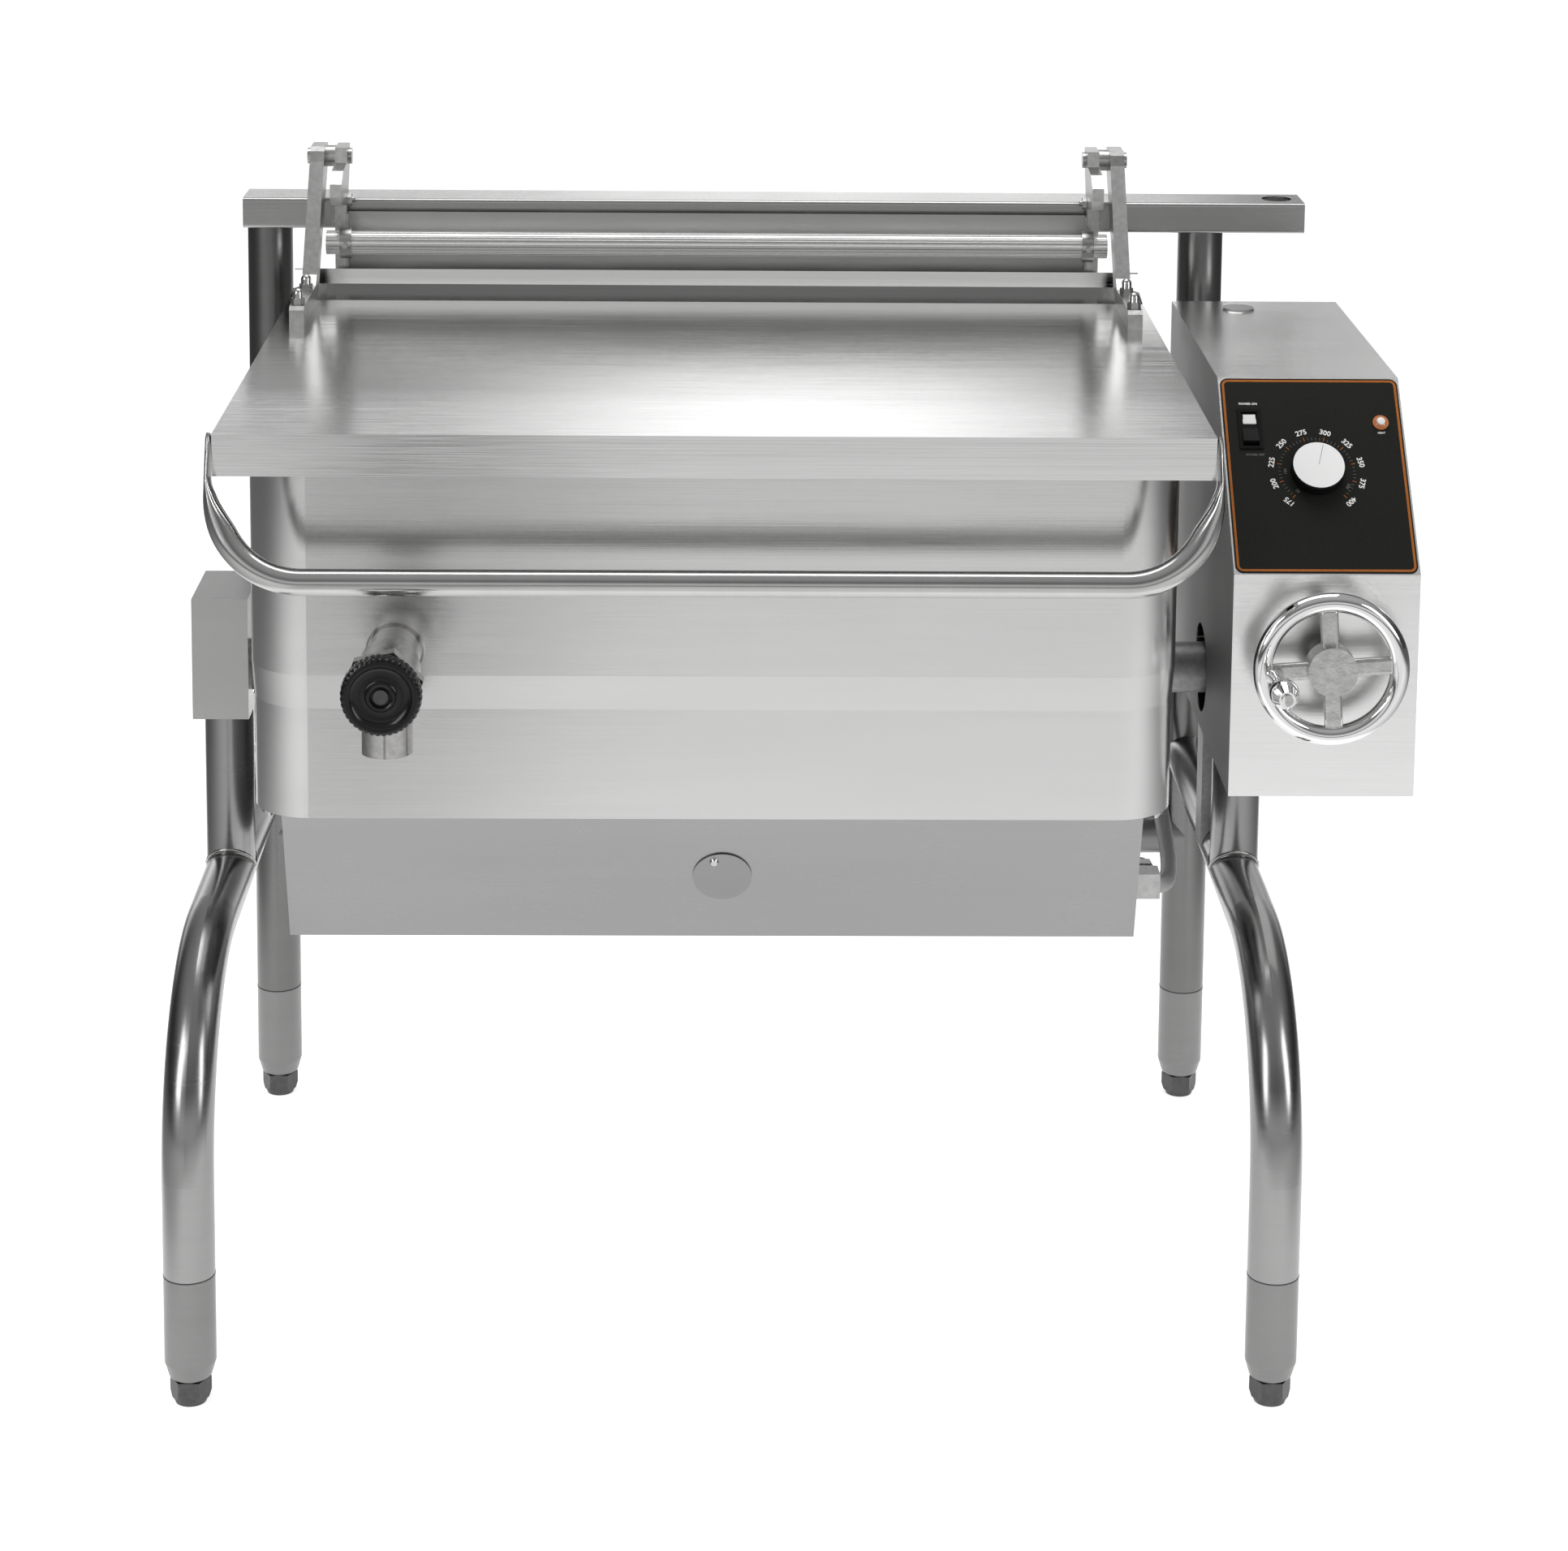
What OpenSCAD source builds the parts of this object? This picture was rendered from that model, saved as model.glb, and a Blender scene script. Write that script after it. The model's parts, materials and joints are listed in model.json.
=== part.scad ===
// Tilting bratt pan on an open tube stand, with a crank-operated worm and sector tilt.
// Working frame: X to the right, Y to the back, Z up, with the trunnion axis on Y = 0
// and the middle of the pan on X = 0. The whole model is then placed on its own middle.

/* [Stand] */
// Height of the trunnion axis above the floor
trunnion_h = 643; // [620:1:670]
// Right legs from the side of the pan
right_leg_room = 100.5; // [96:0.5:104]
// Room between the left legs and the handle as the closed lid tilts past them
left_leg_room = 1.1; // [1:0.1:6]
// Front legs in front of the pan
front_leg_room = 28; // [10:1:50]
// Rear legs behind the pan
rear_leg_room = 93; // [90:1:110]
// Outer diameter of the stand tubes
leg_od = 50.8; // [46:0.1:54]
// Wall of the stand tubes
leg_wall = 2; // [1.5:0.1:3]
// Height of the middle of the bent side beams
beam_h = 420; // [400:1:430]
// Centreline radius of the bend from front leg to beam
bend_r = 190; // [120:1:200]
// Height of the seam between leg tube and foot sleeve
sleeve_top = 132; // [110:1:150]
// Height of the levelling feet below the sleeves
foot_h = 28; // [22:1:36]
// Radius of the threaded stem of a levelling foot
foot_stem_r = 8; // [6:0.1:9]
// Height of the middle of the rear stretcher
stretcher_h = 322; // [300:1:340]

/* [Top rail] */
// Top of the rail above the pan rim
rail_rise = 101; // [93:1:117]
// Height of the rail section
rail_h = 35; // [28:1:45]
// Front to back size of the rail section
rail_d = 64; // [60:1:70]
// Sheet thickness of the rail
rail_wall = 2; // [1.5:0.1:3]
// Overhang of the rail beyond the left leg
rail_over = 2.2; // [2.2:0.1:12]
// Right end of the rail beyond the right legs
rail_reach = 115; // [90:0.5:138]
// Radius of the tap hole in the rail
tap_hole_r = 17; // [12:0.5:20]
// Tap hole from the right end of the rail
tap_hole_in = 28; // [24:1:60]

/* [Pan] */
// Width of the pan
pan_w = 904; // [890:1:908]
// Front to back size of the pan
pan_d = 610; // [600:1:616]
// Underside of the pan above the trunnion axis
pan_rise = 85; // [78:1:92]
// Inside depth of the pan
pan_depth = 242; // [230:1:250]
// Wall of the pan
pan_wall = 3; // [2:0.1:4]
// Radius of the upright corners of the pan
pan_corner_r = 60; // [40:1:80]
// Width of the flange round the rim
rim_flange = 14; // [10:0.5:16]
// Reach of the pouring lip in front of the pan
lip_reach = 26; // [18:1:30]
// Thickness of the heating plate under the pan
plate_t = 16; // [10:1:20]
// Height of the joggle where the skirt meets the pan
joggle_h = 34; // [20:1:40]
// How far the skirt is set in below the joggle
joggle_in = 2.5; // [1:0.1:4]
// Lower edge of the skirt below the trunnion axis
skirt_drop = 59; // [53:1:65]
// Sheet thickness of the skirt
skirt_wall = 1.5; // [1:0.1:2]

/* [Heater box] */
// Heater box in from each side of the pan
heater_in = 33; // [22:1:52]
// Height of the heater box below the skirt
heater_h = 144; // [130:1:160]
// Top front edge of the heater box behind the pan front
heater_set = 10; // [8:1:20]
// How far the front runs back towards its bottom
heater_slope = 58; // [30:1:70]
// Rear of the heater box in front of the pan's rear
heater_short = 38; // [25:1:70]
// Sheet thickness of the heater box
heater_wall = 1.5; // [1:0.1:2]
// Diameter of the viewing port cover
port_cover_d = 58; // [50:1:66]
// Number of burner tubes
burner_count = 5; // [3:1:6]
// Radius of a burner tube
burner_r = 19; // [14:1:22]

/* [Flue] */
// Flue in from each side of the pan
flue_in = 35; // [32:1:52]
// Top of the flue above the pan rim
flue_rise = 88; // [77:1:97]
// Front to back size of the flue
flue_d = 56; // [52:1:57]
// Sheet thickness of the flue
flue_wall = 1.5; // [1:0.1:2]

/* [Lid] */
// Lid beyond each side of the pan
lid_over = 23; // [21:1:26]
// Lid in front of the pan
lid_ahead = 38; // [34:1:50]
// Rear edge of the lid behind the pan
lid_behind = 33; // [28:1:36]
// Sheet thickness of the lid
lid_wall = 1.5; // [1:0.1:2]
// Height of the lid skirt
lid_skirt = 41; // [32:1:48]
// Rise of the strip along the rear of the lid
lid_rise = 8; // [4:1:10]
// Front to back size of that strip
lid_strip = 55; // [40:1:60]
// Height of the turned-up rear edge
lid_upstand = 17; // [10:1:20]
// Diameter of the handle tube
handle_d = 25.4; // [22:0.1:28]
// How far the handle stands out at the sides of the lid
handle_side = 8; // [7:0.5:10]
// Drop of the handle below the top of the lid
handle_drop = 133; // [120:1:145]
// How far the handle leans out in front of its welded ends
handle_out = 45; // [34:1:60]
// Centreline radius of the handle bends
handle_bend = 82; // [50:1:88]

/* [Hinge] */
// Hinge pins above the pan rim
pivot_rise = 149; // [139:1:157]
// Hinge pins behind the rear of the flue
pivot_back = 15; // [12:0.5:17]
// Radius of the hinge pins
pivot_r = 6; // [4:0.5:7]
// Thickness of a lid arm
arm_t = 16; // [12:1:18]
// Outer face of a lid arm from the side of the lid
arm_set = 16; // [12:1:17]
// Thickness of a hinge bracket
bracket_t = 13; // [10:1:14]
// Diameter of the fluted counterbalance tube
balance_d = 27; // [22:1:29]
// Counterbalance tube above the pan rim
balance_rise = 58; // [53:1:63]
// Number of flutes round the tube
flute_count = 24; // [12:2:30]

/* [Trunnions] */
// Radius of the trunnion tubes
trunnion_r = 26.5; // [22:0.5:28]
// Wall of the trunnion tubes
trunnion_wall = 6; // [4:0.5:8]
// Radial clearance of every running fit
run_fit = 0.05; // [0.02:0.01:0.1]
// Gap left between neighbouring faces of parts that move past each other
face_gap = 0.3; // [0.3:0.05:0.5]
// Width of a bearing block along the shaft
bearing_w = 44; // [36:1:48]
// Radius of a bearing block around the shaft
bearing_r = 36; // [34:1:40]

/* [Console] */
// Room between the pan and the console
console_room = 60; // [56:1:64]
// Width of the console
console_w = 185; // [178:1:195]
// Top of the console above the trunnion axis
console_rise = 328; // [317:1:342]
// Bottom of the console below the trunnion axis
console_drop = 63; // [53:1:78]
// Front of the console in front of the trunnion axis
console_front = 225; // [215:1:235]
// Rear of the console behind the trunnion axis
console_rear = 315; // [300:1:325]
// Front to back run of the sloping panel
slope_run = 155; // [140:1:165]
// Height of the sloping panel
slope_rise = 164; // [150:1:175]
// Sheet thickness of the console
console_wall = 1.5; // [1:0.1:2]
// Clear hole for the trunnion in the side of the console
trunnion_hole_d = 93; // [80:1:100]
// Diameter of the temperature dial
dial_d = 54; // [46:1:58]
// Height of the dial's face above the panel film
dial_h = 13.5; // [8:0.5:16]
// Width of the power rocker opening
rocker_w = 16.5; // [15:0.5:20]
// Length of the power rocker opening
rocker_l = 39; // [36:0.5:44]
// Diameter of the heat lamp
lamp_d = 16; // [12:0.5:20]

/* [Tilt drive] */
// Tooth module of worm and sector
gear_module = 2.5; // [2.3:0.1:2.6]
// Teeth that a full wheel would have
gear_teeth = 50; // [48:1:52]
// Pitch radius of the worm
worm_pitch_r = 17.5; // [16:0.5:19]
// Width of the sector's teeth
gear_w = 16; // [12:1:18]
// Turns of thread on the worm
worm_turns = 6; // [5:1:7]
// Play left at each flank of the mesh
flank_play = 0.35; // [0.3:0.05:0.45]
// Radius of the worm shaft
shaft_r = 8; // [6:0.5:8.5]
// Outer diameter of the handwheel
wheel_d = 154; // [140:1:160]
// Diameter of the handwheel rim section
wheel_rim_d = 19; // [15:1:21]
// Radius of the handwheel hub
wheel_hub_r = 24.5; // [20:0.5:26]
// Front face of the handwheel hub from the console front
wheel_stand = 50; // [48:1:56]
// Length of the turning grip
grip_l = 72; // [60:1:80]

/* [Draw-off valve] */
// Valve axis in from the left side of the pan
drain_in = 145; // [132:1:162]
// Valve axis above the inner floor of the pan
drain_up = 23; // [23:1:30]
// Radius of the stub tube
stub_r = 26; // [22:0.5:28]
// Wall of the stub tube and the outlet
stub_wall = 4; // [3:0.5:5]
// Length of the stub tube in front of the pan
stub_l = 62; // [50:1:70]
// Radius of the outlet
outlet_r = 24.5; // [20:0.5:25]
// Drop of the outlet below the valve axis
outlet_drop = 72; // [60:1:80]
// Radius of the valve knob
knob_r = 38; // [32:0.5:40]
// Pitch of the valve stem thread
stem_pitch = 4; // [3:0.5:5]

/* [Hidden] */
$fn = 64;
leg_r = leg_od / 2;
weld = 0.2;
bend_z = beam_h - bend_r;
post_top = trunnion_h - bearing_r;
pan_mid = -5;
pan_front = pan_mid - pan_d / 2;
pan_rear = pan_mid + pan_d / 2;
pan_base = trunnion_h + pan_rise;
rim_h = pan_base + pan_wall + pan_depth;
skirt_low = trunnion_h - skirt_drop;
front_reach = front_leg_room - pan_front;
rear_reach = pan_rear + rear_leg_room;
rail_top = rim_h + rail_rise;
rail_y = rear_reach - leg_r + rail_d / 2 - rail_wall - weld;
joggle_low = pan_base - joggle_h;
skirt_w = pan_w - 2 * joggle_in;
skirt_d = pan_d - 2 * joggle_in;
skirt_r = pan_corner_r - joggle_in;
skirt_rear = pan_rear - joggle_in;
heater_w = pan_w - 2 * heater_in;
heater_low = skirt_low - heater_h;
heater_front = pan_front + heater_set;
heater_rear = pan_rear - heater_short;
heater_lean = atan(heater_slope / heater_h);
flue_w = pan_w - 2 * flue_in;
flue_top = rim_h + flue_rise;
flue_front = pan_rear + face_gap;
flue_rear = flue_front + flue_d;
flue_low = skirt_low + 24;
flue_neck = rim_h - 42;
cheek_front = flue_rear - 16;
lid_w = pan_w + 2 * lid_over;
lid_front = lid_ahead - pan_front;
lid_rear = pan_rear + lid_behind;
lid_under = rim_h + face_gap;
lid_top = lid_under + lid_wall;
lid_crease = lid_rear - lid_strip;
post_left = -lid_w / 2 - handle_side - left_leg_room - leg_r;
post_right = pan_w / 2 + right_leg_room;
leg_span = post_right - post_left;
stand_shift = (post_left + post_right) / 2;
rail_left = leg_r + rail_over - post_left;
rail_right = post_right + rail_reach;
console_top = trunnion_h + console_rise;
console_low = trunnion_h - console_drop;
console_left = pan_w / 2 + console_room;
console_right = console_left + console_w;
console_mid = console_left + console_w / 2;
slope_len = norm([slope_run, slope_rise]);
slope_tilt = atan(slope_run / slope_rise);
slope_y = -console_front + slope_run;
slope_foot = console_top - slope_rise;
dial_s = slope_len * 0.487;
dial_x = console_left + 92.3;
rocker_s = slope_len * 0.272;
rocker_x = console_left + 28.5;
lamp_s = slope_len * 0.237;
lamp_x = console_right - 23.3;
gear_pitch_r = gear_module * gear_teeth / 2;
worm_rise = gear_pitch_r + worm_pitch_r;
worm_h = trunnion_h + worm_rise;
addendum = 0.9 * gear_module;
dedendum = 1.2 * gear_module;
lead = PI * gear_module;
flank = tan(20);
half_tooth = lead / 4 - flank_play / 2;
lead_angle = atan(gear_module / (2 * worm_pitch_r));
gear_shaft_r = 16;
bearing_in = 44;
bearing_l = 18;
gear_x = console_mid;
wheel_y = -console_front - wheel_stand + 12;
wheel_ring_r = wheel_d / 2 - wheel_rim_d / 2;
grip_angle = 185;
grip_ring_r = 56;
drain_left = pan_w / 2 - drain_in;
drain_z = rim_h - pan_depth + drain_up;
valve_y = pan_front - stub_l;
outlet_y = valve_y - 26;
arm_out = lid_w / 2 - arm_set;
arm_in = arm_out - arm_t;
bracket_out = flue_w / 2 + face_gap + bracket_t;
pivot_h = rim_h + pivot_rise;
pivot_reach = flue_rear + pivot_back;
balance_h = rim_h + balance_rise;
balance_y = cheek_front - balance_d / 2 - 1.8;
collar_w = 12.8;
collar_x = flue_w / 2 - 1;
hose_r = 9;
cover_out = 30.5;
cover_half = 54;
cover_drop = 43;
cover_rise = 85;
cover_low = trunnion_h - cover_drop;
cover_high = trunnion_h + cover_rise;
valve_bore_r = stub_r - stub_wall;

valve_body_l = 56;
bonnet_l = 14;
knob_l = 20;
overlay_t = 0.8;
overlay_in = 1.9;
lamp_neck_r = lamp_d / 2 - 2;
plug_neck_r = 15;
plug_x = console_left + 69;
plug_y = console_rear - 42;
bush_neck_r = shaft_r + 6;
bush_len = wheel_stand - 25;
bolt_places = [pivot_reach - 217, pivot_reach - 140];
post_y = 85;
post_side = 40;
port_s = 76;
port_x = 9;
port_screw_at = [-8, 19];
burner_z = heater_low + 84;
burner_pitch = heater_w * 0.84 / burner_count;
manifold_y = heater_front + 100;

// Middle of the outline, so that the origin lies under the middle of the whole
reach_front = knob_l + face_gap + bonnet_l + valve_body_l - valve_y;
mid_x = (console_right - (-post_left + cover_out)) / 2;
mid_y = (rail_y + rail_d / 2 - reach_front) / 2;

// Shared shapes

// Rounded rectangle about the origin, made of true arcs
module rounded(w, d, r) {
    square([w - 2 * r, d], center = true);
    square([w, d - 2 * r], center = true);
    for (x = [-1, 1], y = [-1, 1])
        translate([x * (w / 2 - r), y * (d / 2 - r)])
            circle(r);
}

// Extrudes a (Y, Z) outline along X, centred on X = 0
module along_x(len) {
    translate([-len / 2, 0, 0])
        rotate([90, 0, 90])
            linear_extrude(len)
                children();
}

// Rod along X, centred on X = 0
module rod_x(r, len) {
    rotate([0, 90, 0])
        cylinder(h = len, r = r, center = true);
}

// Rod along Y from y = 0 towards the back
module rod_y(r, len) {
    rotate([-90, 0, 0])
        cylinder(h = len, r = r);
}

module tube(r, wall, len) {
    difference() {
        cylinder(h = len, r = r);
        translate([0, 0, -1])
            cylinder(h = len + 2, r = r - wall);
    }
}

module at_legs() {
    for (side = [-1, 1])
        translate([stand_shift + side * leg_span / 2, 0, 0])
            children();
}

// Places children on the sloping panel, s down from its top edge, with Z out of the face
module on_panel(x, s) {
    translate([x, slope_y, console_top])
        rotate([90 - slope_tilt, 0, 0])
            translate([0, -s, 0])
                children();
}

// Places children on the sloping front of the heater box, s down from its top edge
module on_heater_front(x, s) {
    translate([x, heater_front, skirt_low])
        rotate([90 + heater_lean, 0, 0])
            translate([0, -s, 0])
                children();
}

// Solid with rounded corners whose sides draw in by the same amount on every side
module drawn_in(w, d, r, draw, h) {
    for (x = [-1, 1], y = [-1, 1])
        translate([x * (w / 2 - r), y * (d / 2 - r), 0])
            cylinder(h = h, r1 = r - draw, r2 = r);
    along_x(w - 2 * r)
        polygon([[-d / 2 + draw, 0], [d / 2 - draw, 0], [d / 2, h], [-d / 2, h]]);
    rotate([0, 0, 90])
        along_x(d - 2 * r)
            polygon([[-w / 2 + draw, 0], [w / 2 - draw, 0], [w / 2, h], [-w / 2, h]]);
}

// Stand

module bent_tube(r) {
    translate([0, -front_reach, sleeve_top])
        cylinder(h = bend_z - sleeve_top, r = r);
    translate([0, -front_reach + bend_r, bend_z])
        rotate([90, 0, -90])
            rotate_extrude(angle = 90)
                translate([bend_r, 0])
                    circle(r);
    translate([0, -front_reach + bend_r, beam_h])
        rod_y(r, front_reach - bend_r + rear_reach - 3);
}

module bent_legs() {
    color("silver")
        at_legs()
            difference() {
                bent_tube(leg_r);
                translate([0, 0, -0.01])
                    bent_tube(leg_r - leg_wall);
                translate([0, -front_reach, sleeve_top - 1])
                    cylinder(h = 2, r = leg_r - leg_wall);
                translate([0, rear_reach, beam_h - leg_od])
                    cylinder(h = 2 * leg_od, r = leg_r + weld);
            }
}

module rear_legs() {
    color("silver")
        at_legs()
            translate([0, rear_reach, sleeve_top])
                tube(leg_r, leg_wall, rail_top - rail_wall - sleeve_top);
}

module trunnion_posts() {
    color("silver")
        at_legs()
            difference() {
                translate([0, 0, beam_h + 3])
                    tube(leg_r, leg_wall, post_top - beam_h - 3);
                translate([0, -leg_od, beam_h])
                    rod_y(leg_r + weld, 2 * leg_od);
            }
}

module gearbox_post() {
    color("gray")
        translate([post_right - 7, post_y, 0])
            difference() {
                translate([-post_side / 2, -post_side / 2, beam_h + 3])
                    cube([post_side, post_side, console_low - beam_h - 3]);
                translate([-post_side / 2 + 2, -post_side / 2 + 2, beam_h])
                    cube([post_side - 4, post_side - 4, console_low - beam_h + 1]);
                translate([7, -leg_od, beam_h])
                    rod_y(leg_r + weld, 2 * leg_od);
            }
}

module rear_stretcher() {
    color("silver")
        difference() {
            translate([stand_shift, rear_reach, stretcher_h])
                rod_x(leg_r, leg_span - 6);
            translate([stand_shift, rear_reach, stretcher_h])
                rod_x(leg_r - leg_wall, leg_span);
            at_legs()
                translate([0, rear_reach, stretcher_h - leg_od])
                    cylinder(h = 2 * leg_od, r = leg_r + weld);
        }
}

module top_rail() {
    len = rail_left + rail_right;
    round_r = 4;
    color("silver")
        translate([(rail_right - rail_left) / 2, rail_y, rail_top - rail_h / 2])
            difference() {
                along_x(len)
                    rounded(rail_d, rail_h, round_r);
                translate([0, 0, -rail_wall])
                    along_x(len - 2 * rail_wall)
                        square([rail_d - 2 * rail_wall, rail_h], center = true);
                translate([len / 2 - tap_hole_in, 0, 0])
                    cylinder(h = rail_h, r = tap_hole_r);
            }
}

// Closed lower end of each leg, with a tapped insert for the levelling foot
module leg_sleeves() {
    color("silver")
        for (y = [-front_reach, rear_reach])
            translate([0, y, 0])
                at_legs()
                    rotate_extrude()
                        polygon([[foot_stem_r + run_fit, foot_h], [leg_r - 4.5, foot_h],
                            [leg_r, foot_h + 15], [leg_r, sleeve_top], [leg_r - leg_wall, sleeve_top],
                            [leg_r - leg_wall, foot_h + 22], [foot_stem_r + run_fit, foot_h + 22]]);
}

// Levelling foot: pad, hexagon to turn it by, and threaded stem
module foot() {
    pad_h = 5;
    hex_r = leg_r - 5;
    color("dimgray") {
        cylinder(h = pad_h, r1 = hex_r - 5, r2 = hex_r - 3.5);
        translate([0, 0, pad_h])
            intersection() {
                cylinder(h = foot_h - pad_h - 3, r = hex_r, $fn = 6);
                cylinder(h = foot_h - pad_h - 3, r1 = hex_r - 2, r2 = hex_r + 4);
            }
        translate([0, 0, foot_h - 3])
            cylinder(h = 3 - face_gap, r = hex_r - 3);
        cylinder(h = foot_h + 52, r = foot_stem_r);
    }
}

module foot_at(side, y) {
    translate([stand_shift + side * leg_span / 2, y, 0])
        foot();
}

module foot_front_left() foot_at(-1, -front_reach);
module foot_front_right() foot_at(1, -front_reach);
module foot_rear_left() foot_at(-1, rear_reach);
module foot_rear_right() foot_at(1, rear_reach);

// Bearings and covers

// Plummer block on top of a post
module bearing(x) {
    base_t = 12;
    color("gray")
        translate([x, 0, trunnion_h])
            difference() {
                union() {
                    rod_x(bearing_r - 2, bearing_w);
                    translate([-bearing_w / 2, -leg_r - 12, -bearing_r])
                        cube([bearing_w, leg_od + 24, base_t]);
                }
                rod_x(trunnion_r + run_fit, bearing_w + 2);
            }
}

module left_bearing() bearing(post_left);
module right_bearing() bearing(post_right);

module left_cover() {
    inner = post_left + leg_r + 2;
    outer = post_left - cover_out;
    boss_l = post_left - bearing_w / 2 - outer - skirt_wall;
    color("silver") {
        difference() {
            translate([outer, -cover_half, cover_low])
                cube([inner - outer, 2 * cover_half, cover_high - cover_low]);
            translate([outer + skirt_wall, -cover_half + skirt_wall, cover_low - 1])
                cube([inner - outer - 2 * skirt_wall, 2 * (cover_half - skirt_wall),
                    cover_high - cover_low + 1 - skirt_wall]);
            translate([inner, 0, trunnion_h])
                rod_x(trunnion_r + 4, 4 * skirt_wall);
        }
        for (y = [-20, 20])
            translate([outer + skirt_wall + boss_l / 2, y, trunnion_h + 19])
                rod_x(5, boss_l);
    }
}

// Console

// Side outline of the console, drawn in by t on every closed face
module console_outline(t, open) {
    ny = cos(slope_tilt);
    nz = sin(slope_tilt);
    polygon([[console_rear + open, console_low - open],
        [console_rear + open, console_top - t],
        [slope_y + t * (1 - nz) / ny, console_top - t],
        [-console_front + t, slope_foot - t * (1 - ny) / nz],
        [-console_front + t, console_low - open]]);
}

module console_shell() {
    color("silver")
        difference() {
            translate([console_mid, 0, 0])
                along_x(console_w)
                    console_outline(0, 0);
            translate([console_mid, 0, 0])
                along_x(console_w - 2 * console_wall)
                    console_outline(console_wall, 1);
            translate([console_left, 0, trunnion_h])
                rod_x(trunnion_hole_d / 2, 4 * console_wall);
            translate([console_mid, -console_front - 1, worm_h])
                rod_y(bush_neck_r + face_gap, 4);
            on_panel(dial_x, dial_s)
                cylinder(h = 10, r = 5, center = true);
            on_panel(lamp_x, lamp_s)
                cylinder(h = 10, r = lamp_neck_r + face_gap, center = true);
            on_panel(rocker_x, rocker_s)
                cube([rocker_w + 3 + 2 * face_gap, rocker_l + 3 + 2 * face_gap, 10], center = true);
            translate([plug_x, plug_y, console_top - 3])
                cylinder(h = 6, r = plug_neck_r + face_gap);
        }
}

module console_back() {
    color("silver")
        translate([console_left + console_wall + face_gap, console_rear - console_wall,
            console_low + console_wall + face_gap])
            cube([console_w - 2 * console_wall - 2 * face_gap, console_wall,
                console_top - console_low - 2 * console_wall - 2 * face_gap]);
}

module console_base() {
    color("silver")
        difference() {
            translate([console_left + console_wall + face_gap, -console_front + console_wall + face_gap,
                console_low])
                cube([console_w - 2 * console_wall - 2 * face_gap,
                    console_front + console_rear - console_wall - face_gap, console_wall]);
            translate([post_right, 0, console_low - 1])
                cylinder(h = 4, r = leg_r + face_gap);
        }
}

// Upright plate that carries the worm bearings
module gear_frame() {
    plate_x = gear_x + gear_w / 2 + 14;
    floor_z = console_low + console_wall;
    color("gray") {
        translate([plate_x, -bearing_in - bearing_l, floor_z])
            cube([6, 2 * (bearing_in + bearing_l), worm_h + 24 - floor_z]);
        translate([plate_x - 20, -bearing_in - bearing_l, floor_z])
            cube([26, 2 * (bearing_in + bearing_l), 5]);
        for (y = [-bearing_in - bearing_l, bearing_in])
            translate([gear_x + 18, y, worm_h - 18])
                cube([plate_x - gear_x - 18, bearing_l, 36]);
    }
}

module worm_bearings() {
    color("goldenrod")
        for (y = [-bearing_in - bearing_l, bearing_in])
            translate([gear_x, y, worm_h])
                difference() {
                    translate([-18, 0, -18])
                        cube([36, bearing_l, 36]);
                    translate([0, -1, 0])
                        rod_y(shaft_r + run_fit, bearing_l + 2);
                }
}

module shaft_bushing() {
    color("#202020")
        translate([gear_x, -console_front, worm_h])
            difference() {
                union() {
                    translate([0, -bush_len, 0])
                        rod_y(19, bush_len);
                    rod_y(bush_neck_r, 8);
                }
                translate([0, -bush_len - 1, 0])
                    rod_y(shaft_r + run_fit, bush_len + 10);
            }
}

module panel_overlay() {
    color("#1b1b1d")
        difference() {
            on_panel(console_mid, slope_len / 2)
                linear_extrude(overlay_t)
                    rounded(console_w - 2 * overlay_in, slope_len - 2 * overlay_in, 8);
            on_panel(dial_x, dial_s)
                cylinder(h = 10, r = 5, center = true);
            on_panel(lamp_x, lamp_s)
                cylinder(h = 10, r = lamp_neck_r + face_gap, center = true);
            on_panel(rocker_x, rocker_s)
                cube([rocker_w + 3 + 2 * face_gap, rocker_l + 3 + 2 * face_gap, 10], center = true);
        }
}

module hole_plug() {
    color("silver")
        translate([plug_x, plug_y, console_top]) {
            cylinder(h = 2, r1 = 18.5, r2 = 17);
            translate([0, 0, -6])
                cylinder(h = 6, r = plug_neck_r);
        }
}

module thermostat_body() {
    color("gray")
        difference() {
            on_panel(dial_x, dial_s)
                union() {
                    translate([-24, -24, -console_wall - face_gap - 30])
                        cube([48, 48, 30]);
                    translate([0, 0, -console_wall - face_gap])
                        cylinder(h = console_wall, r = 4.7);
                }
            on_panel(dial_x, dial_s)
                translate([0, 0, -24])
                    cylinder(h = 30, r = 3 + run_fit);
        }
}

module switch_body() {
    color("#202020")
        difference() {
            on_panel(rocker_x, rocker_s)
                union() {
                    translate([-rocker_w / 2 - 3.5, -rocker_l / 2 - 3.5, overlay_t])
                        cube([rocker_w + 7, rocker_l + 7, 1.5]);
                    translate([-rocker_w / 2 - 1.5, -rocker_l / 2 - 1.5, -30])
                        cube([rocker_w + 3, rocker_l + 3, 30 + overlay_t]);
                }
            on_panel(rocker_x, rocker_s)
                translate([-rocker_w / 2, -rocker_l / 2, -14])
                    cube([rocker_w, rocker_l, 20]);
            on_panel(rocker_x, rocker_s)
                translate([0, 0, -6])
                    rod_x(1.5 + run_fit, rocker_w + 2);
        }
}

module heat_lamp() {
    color("darkorange")
        on_panel(lamp_x, lamp_s) {
            translate([0, 0, overlay_t])
                cylinder(h = 2, r = lamp_d / 2);
            translate([0, 0, -22])
                cylinder(h = 22 + overlay_t, r = lamp_neck_r);
            translate([0, 0, overlay_t + 2])
                intersection() {
                    translate([0, 0, -6])
                        sphere(r = 9);
                    cylinder(h = 4, r = lamp_d / 2 - 2);
                }
        }
}

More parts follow.
